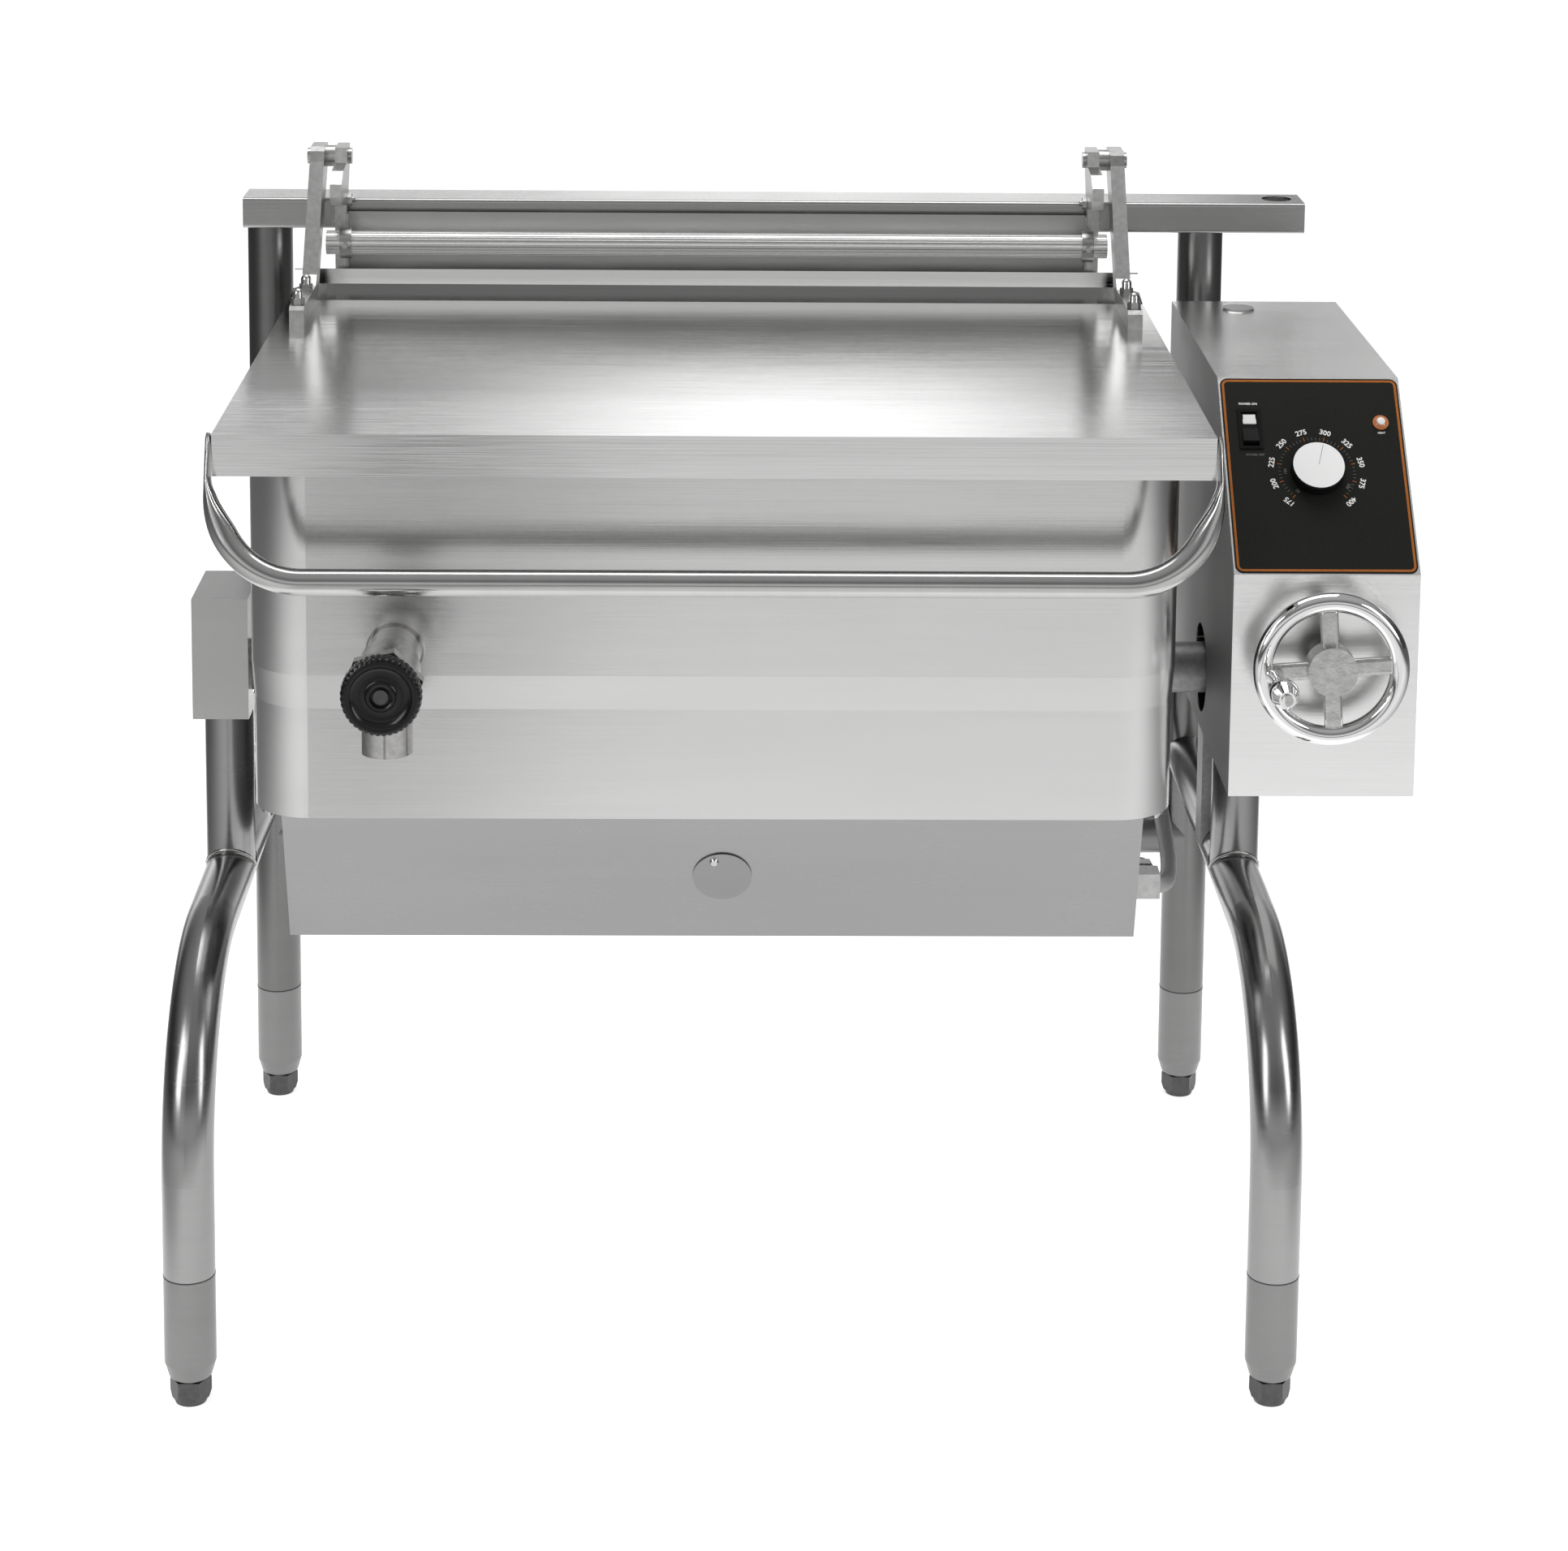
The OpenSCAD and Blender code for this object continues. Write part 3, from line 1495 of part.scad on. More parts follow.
module valve_body() {
    body_y = valve_y - valve_body_l;
    color("gray")
        translate([-drain_left, 0, drain_z])
            difference() {
                union() {
                    translate([0, valve_y, 0])
                        rod_y(stub_r, stub_l);
                    translate([0, pan_front - 5, 0])
                        rod_y(stub_r + 2, 5);
                    translate([0, body_y, 0])
                        rod_y(stub_r + 4, valve_body_l);
                    translate([0, body_y - bonnet_l, 0])
                        rotate([0, -14, 0])
                            rotate([-90, 0, 0])
                                cylinder(h = bonnet_l, r = 39, $fn = 6);
                    translate([0, outlet_y, -outlet_drop])
                        cylinder(h = outlet_drop, r = outlet_r);
                }
                translate([0, body_y + 6, 0])
                    rod_y(valve_bore_r, valve_body_l + stub_l);
                translate([0, outlet_y, -outlet_drop - 1])
                    cylinder(h = outlet_drop, r = outlet_r - stub_wall);
                translate([0, body_y - bonnet_l - 1, 0])
                    rod_y(7 + run_fit, bonnet_l + 10);
            }
}

// Stem with the plug that closes the way from the stub to the outlet
module valve_stem() {
    seat = outlet_y + outlet_r - stub_wall + 1;
    outer = valve_y - valve_body_l - bonnet_l - knob_l + 2;
    color("silver")
        translate([-drain_left, 0, drain_z]) {
            translate([0, outer, 0])
                rod_y(7, seat - outer + 1);
            translate([0, seat, 0])
                rod_y(valve_bore_r - face_gap, 8);
        }
}

module valve_knob() {
    inner = valve_y - valve_body_l - bonnet_l - face_gap;
    depth = knob_l;
    color("#161616")
        translate([-drain_left, inner, drain_z])
            rotate([90, 0, 0])
                difference() {
                    union() {
                        cylinder(h = depth - 4, r = knob_r);
                        translate([0, 0, depth - 4])
                            cylinder(h = 4, r1 = knob_r, r2 = knob_r - 4);
                    }
                    translate([0, 0, -1])
                        cylinder(h = depth + 2, r = 7 + run_fit);
                    translate([0, 0, depth - 6])
                        cylinder(h = 7, r = 15);
                }
}

// Stands the model on the middle of its own outline
module placed() {
    translate([-mid_x, -mid_y, 0])
        children();
}

placed() bent_legs();
placed() rear_legs();
placed() trunnion_posts();
placed() gearbox_post();
placed() rear_stretcher();
placed() top_rail();
placed() leg_sleeves();
placed() foot_front_left();
placed() foot_front_right();
placed() foot_rear_left();
placed() foot_rear_right();
placed() left_bearing();
placed() right_bearing();
placed() left_cover();
placed() console_shell();
placed() console_back();
placed() console_base();
placed() gear_frame();
placed() worm_bearings();
placed() shaft_bushing();
placed() panel_overlay();
placed() hole_plug();
placed() thermostat_body();
placed() switch_body();
placed() heat_lamp();
placed() ignition_module();
placed() tilt_switch();
placed() supply_bracket();
placed() gas_hose();
placed() pan_vessel();
placed() heating_plate();
placed() pan_skirt();
placed() skirt_bolts();
placed() heater_box();
placed() burners();
placed() gas_manifold();
placed() gas_valve();
placed() flue_duct();
placed() trunnion_left();
placed() trunnion_right();
placed() sector_gear();
placed() hinge_brackets();
placed() hinge_pins();
placed() balance_tube();
placed() tube_collars();
placed() valve_body();
placed() lid_panel();
placed() lid_handle();
placed() lid_arms();
placed() arm_bolts();
placed() handwheel();
placed() worm_shaft();
placed() worm();
placed() wheel_grip();
placed() temperature_dial();
placed() power_rocker();
placed() port_cover();
placed() port_screw();
placed() valve_stem();
placed() valve_knob();
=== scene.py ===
# %% [markdown]
# # Dressing a tilting bratt pan
# The construction of this kitchen machine is already there as solid pieces in metres. This lesson
# gives every piece its real finish: brushed and mirror steel, cast alloy, chrome, moulded black
# plastic and a printed control film. Few new shapes are needed, so most cells are about materials.

# %% Load the construction and keep its outline
import json
import math

import bmesh
import bpy
from mathutils import Matrix, Vector


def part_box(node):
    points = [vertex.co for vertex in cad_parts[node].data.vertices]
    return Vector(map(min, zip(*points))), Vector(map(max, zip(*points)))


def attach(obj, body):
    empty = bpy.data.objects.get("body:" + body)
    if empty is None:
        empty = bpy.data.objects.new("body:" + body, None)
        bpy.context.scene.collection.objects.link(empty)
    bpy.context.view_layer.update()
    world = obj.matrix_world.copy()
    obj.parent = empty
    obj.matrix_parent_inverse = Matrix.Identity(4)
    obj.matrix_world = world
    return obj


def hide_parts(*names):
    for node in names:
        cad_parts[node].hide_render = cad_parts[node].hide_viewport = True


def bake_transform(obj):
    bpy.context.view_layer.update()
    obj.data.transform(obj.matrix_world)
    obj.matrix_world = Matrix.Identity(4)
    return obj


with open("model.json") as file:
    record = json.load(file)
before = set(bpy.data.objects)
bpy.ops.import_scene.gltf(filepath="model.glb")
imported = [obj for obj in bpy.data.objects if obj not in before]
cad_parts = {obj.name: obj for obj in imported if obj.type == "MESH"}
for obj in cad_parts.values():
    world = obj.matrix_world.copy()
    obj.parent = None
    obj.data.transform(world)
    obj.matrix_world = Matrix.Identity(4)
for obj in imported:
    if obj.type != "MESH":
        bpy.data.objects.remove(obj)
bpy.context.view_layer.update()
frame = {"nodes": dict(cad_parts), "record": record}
nodes = frame["nodes"]
MM = 0.001


# %% [markdown]
# ## Where things are
# Every size used below comes from the construction itself, so that a piece made here still fits
# when the pan changes. `span` gives the low and high corner of a piece. The pan's middle and the
# trunnion axis are the two lines from which the rest of the machine is laid out.

# %% Reference lines
def span(name):
    low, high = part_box(name)
    return Vector(low), Vector(high)


def middle(name):
    low, high = span(name)
    return (low + high) / 2


def joint(name):
    return next(j for j in frame["record"]["behaviour"]["joints"] if j["name"] == name)


PAN_X = middle("pan_vessel").x
AXIS_Y = joint("pan_tilt")["pos_m"][1]
print("pan middle x", round(PAN_X, 4), "trunnion axis y", round(AXIS_Y, 4))


# %% [markdown]
# ## The camera
# The photograph was taken with a long lens from standing height, a little to the right of the
# pan's middle. The picture was then cropped far below the lens axis, which keeps the legs
# upright. A lens shift does the same here. The position is measured from the pan's middle, the
# trunnion axis and the floor.

# %% Camera
PHOTO_W, PHOTO_H = 1932, 1911
LENS_PX = 4502.0
AXIS_V = 110.1
CAMERA_AT = Vector((PAN_X + 0.0034, AXIS_Y - 3.714, 1.798))
PITCH, YAW, ROLL = 0.1451, 0.01733, 0.008677
SENSOR_MM = 36.0


def turn(axis, angle):
    return Matrix.Rotation(angle, 3, axis)


camera_data = bpy.data.cameras.new("camera")
camera_data.sensor_fit = "HORIZONTAL"
camera_data.sensor_width = SENSOR_MM
camera_data.lens = LENS_PX * SENSOR_MM / PHOTO_W
camera_data.shift_y = (AXIS_V - PHOTO_H / 2) / PHOTO_W
camera = bpy.data.objects.new("camera", camera_data)
bpy.context.scene.collection.objects.link(camera)
level = Matrix(((1, 0, 0), (0, 0, -1), (0, 1, 0)))
yaw = Matrix(((math.cos(YAW), 0, -math.sin(YAW)), (0, 1, 0), (math.sin(YAW), 0, math.cos(YAW))))
look = turn("Z", ROLL) @ turn("X", PITCH) @ yaw @ level
right, down, ahead = look[0], look[1], look[2]
facing = Matrix((right, -down, -ahead)).transposed()
camera.matrix_world = Matrix.Translation(CAMERA_AT) @ facing.to_4x4()
bpy.context.scene.camera = camera
print("lens", round(camera_data.lens, 2), "mm, shift", round(camera_data.shift_y, 4))


# %% [markdown]
# ## Small builders
# A mesh made from a list of points and faces is enough for most trim. `finish_piece` gives it its
# material and says which body it moves with.

# %% Mesh helpers
TIP_R, MERGE = 0.001 * MM, 0.01 * MM


def finish_piece(obj, body, slot, material, *replaced):
    obj.data.materials.append(material)
    if replaced:
        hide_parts(*replaced)
    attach(obj, body)
    return obj


def mesh_from(name, build):
    """A mesh object whose shape is made by build(bm)."""
    bm = bmesh.new()
    build(bm)
    data = bpy.data.meshes.new(name)
    bm.normal_update()
    bm.to_mesh(data)
    bm.free()
    obj = bpy.data.objects.new(name, data)
    bpy.context.scene.collection.objects.link(obj)
    return obj


def around(steps):
    """The angles of a full turn in equal steps."""
    return [2 * math.pi * k / steps for k in range(steps)]


def skin(bm, rows, closed=False, capped=False):
    """Faces between neighbouring rings of points; closed joins the last ring to the first."""
    n = len(rows[0])
    for low, high in zip(rows, rows[1:] + rows[:1] if closed else rows[1:]):
        for k in range(n):
            bm.faces.new((low[k], low[(k + 1) % n], high[(k + 1) % n], high[k]))
    if capped:
        bm.faces.new(rows[0][::-1])
        bm.faces.new(rows[-1])


def revolve(bm, profile, steps, matrix, wave=None):
    """Turns (radius, height) points round Z; wave(radius, angle) may change the radius."""
    rows = []
    for r, z in profile:
        row = []
        for a in around(steps):
            radius = wave(r, a) if wave else r
            point = Vector((radius * math.cos(a), radius * math.sin(a), z))
            row.append(bm.verts.new(matrix @ point))
        rows.append(row)
    skin(bm, rows)


def close_tips(bm):
    """Merges the tiny rings that a turned profile leaves on its axis."""
    bmesh.ops.remove_doubles(bm, verts=bm.verts, dist=MERGE)


def smooth(obj, angle=35):
    for face in obj.data.polygons:
        face.use_smooth = True
    with bpy.context.temp_override(object=obj, active_object=obj, selected_objects=[obj],
                                   selected_editable_objects=[obj]):
        bpy.ops.object.shade_smooth_by_angle(angle=math.radians(angle))


# %% [markdown]
# ## Node helpers
# Shader graphs are easier to read when a node and its links are made in one line. `put` adds a
# node, sets its plain values by name and links the sockets that are given as outputs. `ramp` is a
# soft step, from which the masks of the floor and the sky are made.

# %% Node helpers
def put(tree, kind, props=None, **inputs):
    """A node; i0, i1 and so on stand for inputs by number, and other keys for inputs by name."""
    node = tree.nodes.new(kind)
    for key, value in (props or {}).items():
        setattr(node, key, value)
    for key, value in inputs.items():
        by_number = key[0] == "i" and key[1:].isdigit()
        socket = node.inputs[int(key[1:]) if by_number else key]
        if isinstance(value, bpy.types.NodeSocket):
            tree.links.new(value, socket)
        else:
            socket.default_value = value
    return node


def maths(tree, operation, a, b=0.0, clamp=False):
    return put(tree, "ShaderNodeMath", {"operation": operation, "use_clamp": clamp},
               i0=a, i1=b).outputs[0]


def ramp(tree, value, start, end, low, high):
    """Eases from low to high while the value goes from start to end."""
    return put(tree, "ShaderNodeMapRange", {"interpolation_type": "SMOOTHSTEP"},
               i0=value, i1=start, i2=end, i3=low, i4=high).outputs[0]


def new_group(name, inputs, outputs):
    """An empty shader group with the given sockets: {name: default}, {name: kind}."""
    tree = bpy.data.node_groups.new(name, "ShaderNodeTree")
    for label, default in inputs.items():
        kind = "NodeSocketVector" if isinstance(default, tuple) else "NodeSocketFloat"
        socket = tree.interface.new_socket(label, in_out="INPUT", socket_type=kind)
        socket.default_value = default
    for label, kind in outputs.items():
        tree.interface.new_socket(label, in_out="OUTPUT", socket_type=kind)
    return tree, tree.nodes.new("NodeGroupInput"), tree.nodes.new("NodeGroupOutput")


def use_group(tree, group, **values):
    return put(tree, "ShaderNodeGroup", {"node_tree": group}, **values)


# %% [markdown]
# ## Brushed grain
# Sheet steel is brushed with an abrasive belt, so it carries long fine scratches in one direction
# and wider, fainter bands where the belt pressed harder. A picture of scratches would do, but a
# noise stretched along the belt's direction has no seams and keeps its scale on every sheet. On a
# face that looks sideways the belt ran from front to back, so the group swaps X and Y there.

# %% Group: brushed grain
grain, grain_in, grain_out = new_group(
    "brushed grain",
    {"Along": 3.0, "Across": 420.0, "Band": 22.0},
    {"Scratch": "NodeSocketFloat", "Bands": "NodeSocketFloat", "Height": "NodeSocketFloat",
     "Side": "NodeSocketFloat"})
where_at = put(grain, "ShaderNodeTexCoord")
place = put(grain, "ShaderNodeSeparateXYZ", i0=where_at.outputs["Object"])
normal = put(grain, "ShaderNodeSeparateXYZ", i0=where_at.outputs["Normal"])
sideways = maths(grain, "GREATER_THAN", maths(grain, "ABSOLUTE", normal.outputs[0]), 0.72)
at_x, at_y, at_z = place.outputs
along = put(grain, "ShaderNodeMix", i0=sideways, i2=at_x, i3=at_y).outputs[0]
across = put(grain, "ShaderNodeMix", i0=sideways, i2=at_y, i3=at_x).outputs[0]


def stretched(scale_across):
    return put(grain, "ShaderNodeCombineXYZ",
               i0=maths(grain, "MULTIPLY", along, grain_in.outputs["Along"]),
               i1=maths(grain, "MULTIPLY", across, scale_across),
               i2=maths(grain, "MULTIPLY", at_z, scale_across)).outputs[0]


scratch = put(grain, "ShaderNodeTexNoise", Vector=stretched(grain_in.outputs["Across"]),
              Scale=1.0, Detail=3.0, Roughness=0.65).outputs[0]
bands = put(grain, "ShaderNodeTexNoise", Vector=stretched(grain_in.outputs["Band"]),
            Scale=1.0, Detail=4.0, Roughness=0.55).outputs[0]
grain.links.new(scratch, grain_out.inputs["Scratch"])
grain.links.new(bands, grain_out.inputs["Bands"])
grain.links.new(sideways, grain_out.inputs["Side"])
grain.links.new(maths(grain, "ADD", scratch, maths(grain, "MULTIPLY", bands, 0.35)),
                grain_out.inputs["Height"])
print("group", grain.name, "ready")


# %% [markdown]
# ## Turned grain
# A tube is polished while it turns, so its scratches are rings. The same kind of noise does it
# when it's stretched along two axes and dense along the third, the tube's own.

# %% Group: turned grain
rings, rings_in, rings_out = new_group(
    "turned grain", {"Density": (8.0, 8.0, 320.0)},
    {"Scratch": "NodeSocketFloat", "Bands": "NodeSocketFloat"})
rings_at = put(rings, "ShaderNodeTexCoord").outputs["Object"]
fine = put(rings, "ShaderNodeVectorMath", {"operation": "MULTIPLY"},
           i0=rings_at, i1=rings_in.outputs["Density"]).outputs[0]
wide = put(rings, "ShaderNodeVectorMath", {"operation": "SCALE"}, i0=fine, Scale=0.09).outputs[0]
for label, at, detail in (("Scratch", fine, 3.0), ("Bands", wide, 4.0)):
    rings.links.new(put(rings, "ShaderNodeTexNoise", Vector=at, Scale=1.0, Detail=detail,
                        Roughness=0.6).outputs[0], rings_out.inputs[label])
print("group", rings.name, "ready")


# %% [markdown]
# ## Handling marks
# Nothing in a kitchen stays evenly bright. Faint cloudy smears from wiping change the gloss a
# little over a hand's width. One soft noise at that scale is enough, and every metal uses it.

# %% Group: handling marks
marks, marks_in, marks_out = new_group(
    "handling marks", {"Size": 9.0, "Low": 0.9, "High": 1.12}, {"Factor": "NodeSocketFloat"})
marks_at = put(marks, "ShaderNodeTexCoord")
cloud = put(marks, "ShaderNodeTexNoise", Vector=marks_at.outputs["Object"],
            Scale=marks_in.outputs["Size"], Detail=3.0, Roughness=0.5).outputs[0]
marks.links.new(
    put(marks, "ShaderNodeMapRange", i0=cloud, i1=0.35, i2=0.65,
        i3=marks_in.outputs["Low"], i4=marks_in.outputs["High"]).outputs[0],
    marks_out.inputs["Factor"])
print("group", marks.name, "ready")


# %% [markdown]
# ## Cast skin
# Parts cast in sand keep a fine pebbled skin where they aren't machined. Two noises of different
# size, one for the grains and one for the shallow dents, give a height that a Bump node can use.

# %% Group: cast skin
cast, cast_in, cast_out = new_group(
    "cast skin", {"Grain": 900.0, "Dents": 160.0},
    {"Height": "NodeSocketFloat", "Shade": "NodeSocketFloat"})
cast_at = put(cast, "ShaderNodeTexCoord")
grains = put(cast, "ShaderNodeTexNoise", Vector=cast_at.outputs["Object"],
             Scale=cast_in.outputs["Grain"], Detail=2.0).outputs[0]
dents = put(cast, "ShaderNodeTexNoise", Vector=cast_at.outputs["Object"],
            Scale=cast_in.outputs["Dents"], Detail=3.0).outputs[0]
cast.links.new(maths(cast, "ADD", grains, maths(cast, "MULTIPLY", dents, 1.5)),
               cast_out.inputs["Height"])
shading = put(cast, "ShaderNodeMapRange", i0=dents, i1=0.3, i2=0.7, i3=0.86, i4=1.08).outputs[0]
cast.links.new(shading, cast_out.inputs["Shade"])
print("group", cast.name, "ready")


# %% [markdown]
# ## Materials
# Each finish is one material with its own Principled shader. Its plain numbers, such as the
# strength of a coat, are set on the shader itself. The groups above only vary the colour, the
# roughness and the bump over the surface.

# %% Material helpers
SHEET_SHADE, TUBE_SHADE = 0.10, 0.16
SIDE_ROUGH = 0.6


def new_material(name, metallic=0.0):
    material = bpy.data.materials.new(name)
    material.use_nodes = True
    tree = material.node_tree
    tree.nodes.clear()
    out = tree.nodes.new("ShaderNodeOutputMaterial")
    shader = tree.nodes.new("ShaderNodeBsdfPrincipled")
    shader.inputs["Metallic"].default_value = metallic
    tree.links.new(shader.outputs[0], out.inputs[0])
    return material, tree, shader


def tinted(tree, colour, factor):
    """The colour, made lighter or darker by a factor that varies over the surface."""
    return put(tree, "ShaderNodeMix", {"data_type": "RGBA", "blend_type": "MULTIPLY"},
               i0=1.0, i6=(*colour, 1.0), i7=factor).outputs[2]


def bump(tree, shader, height, strength, distance):
    node = put(tree, "ShaderNodeBump", Height=height, Strength=strength, Distance=distance)
    tree.links.new(node.outputs[0], shader.inputs["Normal"])


def about(tree, mean, spread, value):
    """A value from 0 to 1, brought to the given spread about the mean."""
    return maths(tree, "ADD", mean - spread / 2, maths(tree, "MULTIPLY", value, spread))


def brushed(name, colour, rough, spread, along=3.0, across=420.0, depth=0.12, sides=1.0):
    """Brushed sheet; sides below 1 makes faces that look sideways rougher, and darker by painted
    shade.
    """
    material, tree, shader = new_material(name, metallic=1.0)
    lines = use_group(tree, grain, Along=along, Across=across)
    smear = use_group(tree, marks, Low=0.93, High=1.08)
    side = lines.outputs["Side"]
    # Faces that look sideways get painted shade: the sides factor darkens their colour.
    painted_side_shade = maths(tree, "SUBTRACT", 1.0, maths(tree, "MULTIPLY", side, 1.0 - sides))
    value = maths(tree, "MULTIPLY", about(tree, 1.0, SHEET_SHADE, lines.outputs["Bands"]), painted_side_shade)
    tree.links.new(tinted(tree, colour, value), shader.inputs["Base Color"])
    gloss = maths(tree, "MULTIPLY", smear.outputs[0],
                  about(tree, rough, spread, lines.outputs["Scratch"]))
    gloss = maths(tree, "ADD", gloss, maths(tree, "MULTIPLY", side, SIDE_ROUGH * (1.0 - sides)))
    tree.links.new(gloss, shader.inputs["Roughness"])
    bump(tree, shader, lines.outputs["Height"], depth, 0.0004)
    return material


def turned(name, colour, rough, spread, density=(8.0, 8.0, 320.0)):
    """A tube or a machined part; density says how dense the scratches are along X, Y and Z."""
    material, tree, shader = new_material(name, metallic=1.0)
    lines = use_group(tree, rings, Density=density)
    smear = use_group(tree, marks, Low=0.92, High=1.08)
    value = about(tree, 1.0, TUBE_SHADE, lines.outputs["Bands"])
    tree.links.new(tinted(tree, colour, value), shader.inputs["Base Color"])
    gloss = about(tree, rough, spread, lines.outputs["Scratch"])
    tree.links.new(maths(tree, "MULTIPLY", smear.outputs[0], gloss), shader.inputs["Roughness"])
    bump(tree, shader, lines.outputs["Scratch"], 0.03, 0.0003)
    return material


def cast_metal(name, colour, rough, depth):
    material, tree, shader = new_material(name, metallic=1.0)
    pebbles = use_group(tree, cast)
    smear = use_group(tree, marks, Low=0.92, High=1.1)
    tree.links.new(tinted(tree, colour, pebbles.outputs["Shade"]), shader.inputs["Base Color"])
    tree.links.new(maths(tree, "MULTIPLY", smear.outputs[0], rough), shader.inputs["Roughness"])
    bump(tree, shader, pebbles.outputs["Height"], depth, 0.0005)
    return material


def plastic(name, colour, rough, coat=0.0, depth=0.15, shine=0.5, even=False):
    """Moulded plastic or print; even leaves out the mottling, which shows on pale colours."""
    material, tree, shader = new_material(name)
    pebbles = use_group(tree, cast, Grain=1500.0, Dents=300.0)
    smear = use_group(tree, marks, Low=0.85, High=1.2)
    shader.inputs["Specular IOR Level"].default_value = shine
    shader.inputs["Coat Weight"].default_value = coat
    shader.inputs["Coat Roughness"].default_value = 0.08
    shader.inputs["Base Color"].default_value = (*colour, 1.0)
    if not even:
        tree.links.new(tinted(tree, colour, pebbles.outputs["Shade"]), shader.inputs["Base Color"])
    tree.links.new(maths(tree, "MULTIPLY", smear.outputs[0], rough), shader.inputs["Roughness"])
    bump(tree, shader, pebbles.outputs["Height"], depth, 0.0002)
    return material


# %% [markdown]
# ## The finishes of this machine
# The pan and its skirt are satin sheet. The lid's top is polished nearly to a mirror, and its
# front skirt is brushed finely. The stand's tubes were polished by turning them against a belt,
# so their scratches run round the tube. The handwheel's rim is chromed, its spokes left as cast.

# %% Materials: metals
PAN_SHEET = brushed("pan sheet", (0.70, 0.70, 0.695), 0.17, 0.06,
                    along=2, across=2200, depth=0.13)
# The console's sides get painted shade and a rougher finish through sides=0.42.
CONSOLE_SHEET = brushed("console sheet", (0.85, 0.85, 0.845), 0.22, 0.05,
                        along=2, across=2200, depth=0.2, sides=0.42)
HEATER_SHEET = brushed("heater sheet", (0.31, 0.31, 0.31), 0.28, 0.06,
                       along=2, across=1800, depth=0.15)
LID_SHEET = brushed("lid sheet", (0.76, 0.76, 0.755), 0.05, 0.02,
                    along=1.5, across=2400, depth=0.11)
TUBE_STEEL = turned("tube steel", (0.31, 0.31, 0.308), 0.25, 0.10)
SLEEVE_STEEL = turned("sleeve steel", (0.235, 0.235, 0.233), 0.29, 0.10)
# A darker, slightly rougher copy of the tube steel: painted shade for the rear legs and stretcher
# under the pan.
SHADED_TUBE = turned("tube steel with painted shade", (0.19, 0.19, 0.188), 0.30, 0.10)
RAIL_STEEL = brushed("rail steel", (0.42, 0.42, 0.415), 0.24, 0.06,
                     along=2, across=1800, depth=0.15)
HANDLE_STEEL = turned("handle steel", (0.52, 0.52, 0.515), 0.20, 0.08, (260.0, 8.0, 8.0))
FLUTED_STEEL = turned("fluted tube steel", (0.80, 0.80, 0.79), 0.22, 0.06, (3.0, 200.0, 200.0))
HARDWARE = turned("machined hardware", (0.50, 0.50, 0.495), 0.24, 0.06, (200.0, 200.0, 200.0))
CAST_ALLOY = cast_metal("cast alloy", (0.50, 0.50, 0.495), 0.32, 0.06)
VALVE_METAL = cast_metal("polished valve body", (0.44, 0.435, 0.43), 0.13, 0.03)
COVER_STEEL = brushed("port cover sheet", (0.27, 0.27, 0.27), 0.34, 0.06)
FLUE_SHEET = brushed("flue sheet", (0.42, 0.42, 0.415), 0.42, 0.10,
                     along=30, across=260, depth=0.15)
CHROME = cast_metal("chrome", (0.82, 0.82, 0.82), 0.05, 0.0)
BRONZE = cast_metal("bronze", (0.62, 0.44, 0.20), 0.30, 0.15)
DARK_STEEL = cast_metal("dark foot steel", (0.10, 0.10, 0.10), 0.38, 0.30)
PLATE_STEEL = cast_metal("plate steel", (0.34, 0.34, 0.345), 0.45, 0.20)

# %% Materials: plastics and film
PHENOLIC = plastic("black phenolic", (0.008, 0.008, 0.008), 0.22, coat=0.12, shine=0.25)
ROCKER_BLACK = plastic("rocker black", (0.006, 0.006, 0.006), 0.50, shine=0.12)
PANEL_BLACK = plastic("panel film black", (0.011, 0.012, 0.009), 0.50, depth=0.05, shine=0.15)
PANEL_ORANGE = plastic("panel film orange", (0.40, 0.125, 0.022), 0.50, depth=0.05, shine=0.2)
PRINT_WHITE = plastic("printed white", (0.90, 0.90, 0.89), 0.50, depth=0.05, shine=0.2, even=True)
PRINT_GREY = plastic("printed grey", (0.14, 0.14, 0.135), 0.50, depth=0.05, shine=0.2, even=True)
DIAL_WHITE = plastic("dial white", (0.96, 0.96, 0.955), 0.45, depth=0.01, shine=0.3, even=True)
POINTER_GREY = plastic("pointer grey", (0.30, 0.30, 0.31), 0.45, even=True)
LAMP_ORANGE = plastic("lamp lens", (0.55, 0.19, 0.06), 0.25, coat=0.3, even=True)
LAMP_WHITE = plastic("white lens", (0.88, 0.87, 0.86), 0.20, coat=0.4, even=True)
HOSE_GREY = plastic("hose sheath", (0.36, 0.36, 0.365), 0.42)
print("materials:", len(bpy.data.materials))


# %% [markdown]
# ## The handwheel's metal
# The wheel is one casting. Its rim is turned, polished and chromed, while the hub and the spokes
# keep the rough skin of the mould. The distance from the crank's axis tells which is which: the
# group gives 0 on the rough part and 1 on the rim, and the material blends between the two.

# %% Group and material: handwheel
WHEEL_AT = Vector(joint("crank_turn")["pos_m"])
RIM_INNER = 58.5 * MM
rim, rim_in, rim_out = new_group(
    "wheel rim", {"Centre": (0.0, 0.0, 0.0), "Inner": 0.05},
    {"Rim": "NodeSocketFloat", "Height": "NodeSocketFloat", "Shade": "NodeSocketFloat"})
from_axis = put(rim, "ShaderNodeVectorMath", {"operation": "SUBTRACT"},
                i0=put(rim, "ShaderNodeTexCoord").outputs["Object"],
                i1=rim_in.outputs["Centre"]).outputs[0]
flat = put(rim, "ShaderNodeVectorMath", {"operation": "MULTIPLY"},
           i0=from_axis, i1=(1.0, 0.0, 1.0)).outputs[0]
radius = put(rim, "ShaderNodeVectorMath", {"operation": "LENGTH"}, i0=flat).outputs[1]
